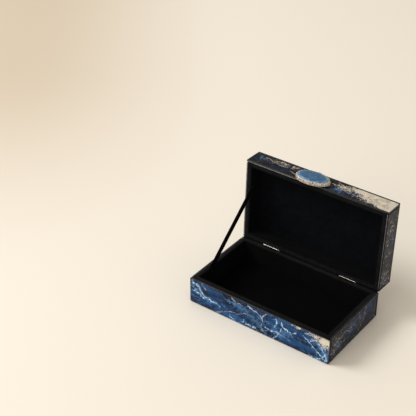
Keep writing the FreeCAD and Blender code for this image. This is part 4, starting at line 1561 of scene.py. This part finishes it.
@dataclass
class JointTape:
    """The black cloth tape that closes the joint behind the rims, between the hinges: a dark sheet put
    there so that the gap shows only shade.
    """

    thick: float = 0.14 * MM
    clear_of_hinge: float = 0.9 * MM
    end_room: float = 1.5 * MM
    spacing: float = 4.0 * MM
    line: tuple[Point, ...] = (
        (-2.20, -0.50), (-1.30, -0.50), (-0.55, -0.47), (-0.15, -0.34), (0.15, -0.10),
        (0.36, 0.20), (0.47, 0.60), (0.50, 1.10), (0.50, 2.00),
    )   # (y, z) from the hinges' line, in millimetres

    def spans(self) -> list[tuple[float, float]]:
        """Give where the tape runs, from and to x, between the ends and the hinges."""
        low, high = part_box("base_back_glass")
        stops = [low.x + self.end_room]
        for side in ("left", "right"):
            leaf_low, leaf_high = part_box(f"hinge_{side}_base_leaf")
            stops += [leaf_low.x - self.clear_of_hinge, leaf_high.x + self.clear_of_hinge]
        stops.append(high.x - self.end_room)
        return list(zip(stops[::2], stops[1::2]))

    def section(self, centre: list[Vector]) -> list[Vector]:
        """Give the tape's cut end, its one side along its line and its other side back."""
        section: list[Vector] = []
        for side in (0.5, -0.5):
            spots = list(enumerate(centre))
            for index, spot in spots if side > 0 else reversed(spots):
                before = centre[max(index - 1, 0)]
                after = centre[min(index + 1, len(centre) - 1)]
                heading = (after - before).normalized()
                section.append(spot + Vector((0.0, -heading.z, heading.y)) * side * self.thick)
        return section

    def build(self) -> None:
        """Make the three lengths of tape and bend them between the two bodies."""
        # a dark sheet standing in for the shade in the joint's gap
        cloth = Velvet("tape_cloth", (0.0060, 0.0062, 0.0075), 0.3, 0.06).material()
        axis = LID.axis_point
        for name, (start, end) in zip(("left", "middle", "right"), self.spans()):
            steps = max(1, round((end - start) / self.spacing))
            stations = [start + (end - start) * i / steps for i in range(steps + 1)]
            centre = [Vector((0.0, y * MM, z * MM)) + axis for y, z in self.line]
            section = self.section(centre)
            count = len(section)
            points = [(x, spot.y, spot.z) for x in stations for spot in section]
            faces = skin_faces(len(stations), count)
            for at in (0, steps * count):
                faces += [
                    (at + i, at + i + 1, at + count - 2 - i, at + count - 1 - i)
                    for i in range(len(centre) - 1)
                ]
            tape = new_piece(f"joint_tape_{name}", np.array(points), faces)
            tape.data.materials.append(cloth)
            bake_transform(tape)
            log.info("%s: %.1f mm long", tape.name, (end - start) / MM)


# ------------------------------------------------------------------ the agate pull


@dataclass
class AgatePull:
    """The finger pull: a polished slab in a rough gilded rind, crusted with crystals."""

    turns: int = 240
    face_inset: float = 1.0 * MM
    face_edge: float = 0.5 * MM
    roughness: float = 0.75 * MM
    lump_count: int = 26
    crystals: int = 700
    crystal_size: float = 0.62 * MM
    crust_start: float = 0.9 * MM
    stone_swell: float = 1.03       # how far the waves push out the stone's widest point
    rind_swell: float = 1.045
    lump_seed: int = 5
    crust_seed: int = 11
    waves: Waves = ((2, 0.010, 0.4), (3, 0.022, 1.9), (5, 0.012, 0.7))
    rough_waves: Waves = ((9, 0.012, 2.2), (13, 0.009, 0.3))

    def __post_init__(self) -> None:
        """Read the stone's and the rind's places, with the lid shut."""
        low, high = LID.shut_box("agate_slice")
        rind_low, rind_high = LID.shut_box("agate_gilt_rind")
        self.centre = (low + high) / 2
        self.slab_half = (high - low) / 2
        self.stone_x = self.slab_half.x / self.stone_swell
        self.stone_z = self.slab_half.z / self.stone_swell
        rind_half = (rind_high - rind_low) / 2
        self.rind_x, self.rind_z = rind_half.x / self.rind_swell, rind_half.z / self.rind_swell
        self.back_y = high.y
        self.slab_thick = high.y - low.y
        self.rind_thick = rind_high.y - rind_low.y

    def ring(self, half_x: float, half_z: float, depth: float, waves: Waves) -> list[Vector]:
        """Give one uneven ring of points, standing this far in front of the stone's back."""
        points = []
        for index in range(self.turns):
            turn = 2 * math.pi * index / self.turns
            swell = 1 + sum(share * math.sin(count * turn + phase) for count, share, phase in waves)
            points.append(Vector((
                self.centre.x + half_x * swell * math.cos(turn), self.back_y - depth,
                self.centre.z + half_z * swell * math.sin(turn),
            )))
        return points

    def build_slab(self) -> None:
        """Make the polished stone, with an eased edge round its face."""
        depth, edge = self.slab_thick, self.face_edge
        face_x, face_z = self.stone_x - self.face_inset, self.stone_z - self.face_inset
        steps = [
            (self.stone_x, self.stone_z, 0.0),
            (self.stone_x - 0.4 * MM, self.stone_z - 0.4 * MM, depth * 0.6),
            (face_x, face_z, depth - edge),
            (face_x - edge * 0.3, face_z - edge * 0.3, depth - edge * 0.3),
            (face_x - edge, face_z - edge, depth),
            (face_x * 0.6, face_z * 0.6, depth),
            (face_x * 0.2, face_z * 0.2, depth),
        ]
        points = [point for step in steps for point in self.ring(*step, self.waves)]
        faces = skin_faces(len(steps), self.turns)
        faces += [tuple(range(self.turns)), tuple(range(len(points) - self.turns, len(points)))]
        slab = new_piece("agate_slab", np.array(points), faces)
        write_place(slab, Vector((1, 0, 0)), Vector((0, 0, 1)), Matrix.Identity(4))
        stone = Agate((face_x / MM, face_z / MM), (self.centre.x / MM, self.centre.z / MM))
        open_with_lid(slab, "agate_slice")
        finish_piece(slab, stone.material(), "agate_slice")

    def build_rind(self) -> bpy.types.Object:
        """Make the rough rind, lumpy outside and smooth where it meets the stone."""
        section = [(0.0, 0.0), (0.72, 0.0), (0.90, 0.14), (1.0, 0.34), (0.98, 0.50), (0.90, 0.64),
                   (0.78, 0.76), (0.62, 0.86), (0.45, 0.93), (0.25, 0.97), (0.05, 1.0),
                   (-0.22, 1.0), (-0.20, 0.8)]
        lumps = random.Random(self.lump_seed)
        phases = [(lumps.randint(14, 75), lumps.uniform(0, 6.28), lumps.uniform(1, 9))
                  for _ in range(self.lump_count)]
        points: list[Vector] = []
        for across, rise in section:
            ring = self.ring(
                self.stone_x + (self.rind_x - self.stone_x) * across,
                self.stone_z + (self.rind_z - self.stone_z) * across,
                self.rind_thick * rise * 0.985,
                self.waves + self.rough_waves if across > 0.1 else self.waves,
            )
            free = 0.0 if across < 0.1 or rise < 0.05 else 1.0
            for index, point in enumerate(ring):
                turn = 2 * math.pi * index / self.turns
                lump = sum(math.sin(count * turn + phase + across * shift + rise * shift * 0.7)
                           for count, phase, shift in phases) / self.lump_count ** 0.5
                out = Vector((math.cos(turn) * across, -rise * 0.6, math.sin(turn) * across))
                point += out * (lump * 0.75 - 0.6) * self.roughness * free
            points += ring
        faces = skin_faces(len(section), self.turns, ring=True)
        return new_piece("agate_rind", np.array(points), faces)

    def crystal_tree(self, material: bpy.types.Material) -> bpy.types.NodeTree:
        """Build the node tree that crusts a skin with small crystals."""
        tree = bpy.data.node_groups.new("crystal_crust", "GeometryNodeTree")
        for label, kind in {"Skin": "Geometry", "Count": "Float", "Size": "Float", "Seed": "Int"}.items():
            tree.interface.new_socket(label, in_out="INPUT", socket_type=f"NodeSocket{kind}")
        tree.interface.new_socket("Crust", in_out="OUTPUT", socket_type="NodeSocketGeometry")
        graph = Graph(tree)
        given = graph.node("NodeGroupInput").outputs
        spots = graph.node("GeometryNodeDistributePointsOnFaces", {
            "Mesh": given["Skin"], "Density": given["Count"], "Seed": given["Seed"],
        })
        crystal = graph.node("GeometryNodeMeshIcoSphere", {"Radius": given["Size"], "Subdivisions": 1})
        facets = graph.node("GeometryNodeSetShadeSmooth", {
            "Geometry": crystal.outputs["Mesh"], "Shade Smooth": False,
        })
        spin = graph.node("FunctionNodeRandomValue", {
            "Min": (0.0, 0.0, 0.0), "Max": (6.28, 6.28, 6.28), "Seed": given["Seed"],
        }, data_type="FLOAT_VECTOR")
        size = graph.node("FunctionNodeRandomValue", {
            "Min": (0.35, 0.35, 0.25), "Max": (1.15, 1.15, 0.9), "Seed": given["Seed"],
        }, data_type="FLOAT_VECTOR")
        placed = graph.node("GeometryNodeInstanceOnPoints", {
            "Points": spots.outputs["Points"], "Instance": facets.outputs["Geometry"],
            "Rotation": spin.outputs["Value"], "Scale": size.outputs["Value"],
        })
        real = graph.node("GeometryNodeRealizeInstances", {"Geometry": placed.outputs["Instances"]})
        dressed = graph.node("GeometryNodeSetMaterial", {
            "Geometry": real.outputs["Geometry"], "Material": material,
        })
        result = graph.node("NodeGroupOutput")
        graph.feed(result.inputs["Crust"], dressed.outputs["Geometry"])
        return tree

    def build_crust(self, rind: bpy.types.Object, material: bpy.types.Material) -> None:
        """Crust the rind's outer side with crystals, as one plain mesh."""
        host_mesh = rind.data.copy()
        shape = bmesh.new()
        shape.from_mesh(host_mesh)
        unwanted = [
            face for face in shape.faces
            if self.back_y - face.calc_center_median().y < self.crust_start
            or math.hypot((face.calc_center_median().x - self.centre.x) / self.slab_half.x,
                          (face.calc_center_median().z - self.centre.z) / self.slab_half.z) < 1.0
        ]
        bmesh.ops.delete(shape, geom=unwanted, context="FACES")
        area = sum(face.calc_area() for face in shape.faces)
        shape.to_mesh(host_mesh)
        shape.free()
        host = add_object("crust_host", host_mesh)
        modifier = host.modifiers.new("crust", "NODES")
        modifier.node_group = tree = self.crystal_tree(material)
        sockets = {item.name: item.identifier for item in tree.interface.items_tree
                   if item.in_out == "INPUT"}
        sizes = {"Count": self.crystals / area, "Size": self.crystal_size, "Seed": self.crust_seed}
        for label, value in sizes.items():
            modifier[sockets[label]] = value
        bpy.context.view_layer.update()
        evaluated = host.evaluated_get(bpy.context.evaluated_depsgraph_get())
        crust_mesh = bpy.data.meshes.new_from_object(evaluated)
        bpy.data.objects.remove(host)
        crust_mesh.name = "agate_crystal_crust"
        crust = add_object("agate_crystal_crust", crust_mesh)
        open_with_lid(crust, "agate_gilt_rind")
        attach(crust, "lid")
        log.info("crystal crust: %d faces", len(crust_mesh.polygons))

    def build(self) -> None:
        """Make the slab, its rind and the crust."""
        self.build_slab()
        material = GiltRind().material()
        rind = self.build_rind()
        self.build_crust(rind, material)
        open_with_lid(rind, "agate_gilt_rind")
        finish_piece(rind, material, "agate_gilt_rind")


# ------------------------------------------------------------------ what stays CAD


class Ironmongery:
    """The boards, hinges, screws and fixings, whose CAD shapes stay and get finishes."""

    # the nickel carries a painted highlight band along the hinge barrels
    NICKEL = PlatedMetal("bright_nickel", (0.86, 0.82, 0.76), (0.70, 0.66, 0.61), 0.24, worn=True)
    BRASS = PlatedMetal("plain_brass", (0.66, 0.50, 0.24), (0.38, 0.28, 0.13), 0.3)

    def dress(self) -> None:
        """Give each shown CAD node its finish."""
        finishes = {
            "nickel": self.NICKEL.material(),
            "plate_brass": self.BRASS.material(),
            "board": LacqueredBoard().material(),
        }
        slots = {row["node"]: row["material_slot"] for row in frame["record"]["subparts"]}
        for name, node in frame["nodes"].items():
            if slots[name] in finishes:
                node.data.materials.clear()
                node.data.materials.append(finishes[slots[name]])
                log.info("%s keeps its CAD shape, finished as %s", name, slots[name])


# ------------------------------------------------------------------ stage


@dataclass(frozen=True)
class Lamp:
    """One soft square light, its place and its size in metres and its power in watts."""

    name: str
    place: tuple[float, float, float]
    size: float
    power: float
    colour: Colour


@dataclass
class Studio:
    """The plain floor, the soft lights and the camera."""

    camera_place: tuple[float, float, float] = (0.5676, -0.9220, 0.8520)
    yaw: float = -36.575        # degrees from looking along +Y, towards +X
    pitch: float = 33.064       # degrees below the horizon
    roll: float = 0.20
    lens: float = 94.57
    lamps: tuple[Lamp, ...] = (
        Lamp("key", (-2.5, -1.3, 2.6), 1.7, 85.0, (1.0, 0.98, 0.95)),
        Lamp("front_fill", (-0.3, -2.6, 1.2), 1.4, 13.0, (1.0, 0.97, 0.93)),
    )
    aim: tuple[float, float, float] = (0.0, 0.0, 0.06)      # what the lamps point at
    room_colour: Colour = (1.0, 0.92, 0.80)
    room_strength: float = 0.56
    floor_reach: float = 6.0

    def build_floor(self) -> None:
        """Make the pale floor, with painted shade towards the far left."""
        corners = [(x * self.floor_reach, y * self.floor_reach, 0.0)
                   for x, y in ((-1, -1), (1, -1), (1, 1), (-1, 1))]
        floor = new_piece("floor", np.array(corners), [(0, 1, 2, 3)], smooth=False)
        finish = Finish("pale_floor", Roughness=0.75, Specular_IOR_Level=0.25)
        graph = finish.graph
        place = graph.object_place()
        soft = graph.noise(place, 0.003, 3.0, 0.5)
        near = graph.mix(soft, (0.925, 0.880, 0.805), (0.945, 0.900, 0.825))
        along = graph.node("ShaderNodeSeparateXYZ", {0: place}).outputs
        # painted shade: the floor darkens towards the far left of the view
        aside = graph.math("MULTIPLY_ADD", along["Y"], -0.6, graph.times(along["X"], -0.8))
        away = graph.math("MULTIPLY_ADD", along["Y"], 0.8, graph.times(along["X"], -0.6))
        painted_falloff_shade = graph.times(graph.remap(aside, 0.0, 450.0), graph.remap(away, 0.0, 700.0))
        finish.set("Base Color", graph.mix(painted_falloff_shade, near, (0.700, 0.610, 0.490)))
        floor.data.materials.append(finish.material)

    def build_light(self, lamp: Lamp) -> None:
        """Hang one lamp and aim it."""
        data = bpy.data.lights.new(lamp.name, "AREA")
        data.shape = "SQUARE"
        data.size = lamp.size
        data.energy = lamp.power
        data.color = lamp.colour
        hung = add_object(lamp.name, data)
        hung.location = lamp.place
        beam = Vector(self.aim) - Vector(lamp.place)
        hung.rotation_euler = beam.to_track_quat("-Z", "Y").to_euler()

    def build_world(self) -> None:
        """Fill the room with dim warm light."""
        world = bpy.data.worlds.new("soft_room")
        world.use_nodes = True
        sky = world.node_tree.nodes["Background"].inputs
        sky["Color"].default_value = (*self.room_colour, 1.0)
        sky["Strength"].default_value = self.room_strength
        bpy.context.scene.world = world

    def build_camera(self) -> None:
        """Set the camera where the box is seen from its right front corner."""
        data = bpy.data.cameras.new("camera")
        data.lens = self.lens
        data.sensor_width = 36.0
        data.clip_start = 0.05
        data.clip_end = 30.0
        camera = add_object("camera", data)
        camera.location = self.camera_place
        heading = Matrix.Rotation(math.radians(-self.yaw), 3, "Z")
        tilt = Matrix.Rotation(math.radians(90 - self.pitch), 3, "X")
        roll = Matrix.Rotation(math.radians(self.roll), 3, "Z")
        camera.rotation_euler = (heading @ tilt @ roll).to_euler()
        bpy.context.scene.camera = camera

    def build(self) -> None:
        """Make the whole stage."""
        bpy.context.scene.view_settings.view_transform = "Standard"
        self.build_floor()
        self.build_world()
        for lamp in self.lamps:
            self.build_light(lamp)
        self.build_camera()


def main() -> None:
    """Build the stage and every piece, in order."""
    logging.basicConfig(level=logging.INFO, format="%(name)s: %(message)s")
    Studio().build()
    Ironmongery().dress()
    Panes().build_all()
    Linings().build()
    RibbonStay().build()
    JointTape().build()
    AgatePull().build()


if __name__ == "__main__":
    main()
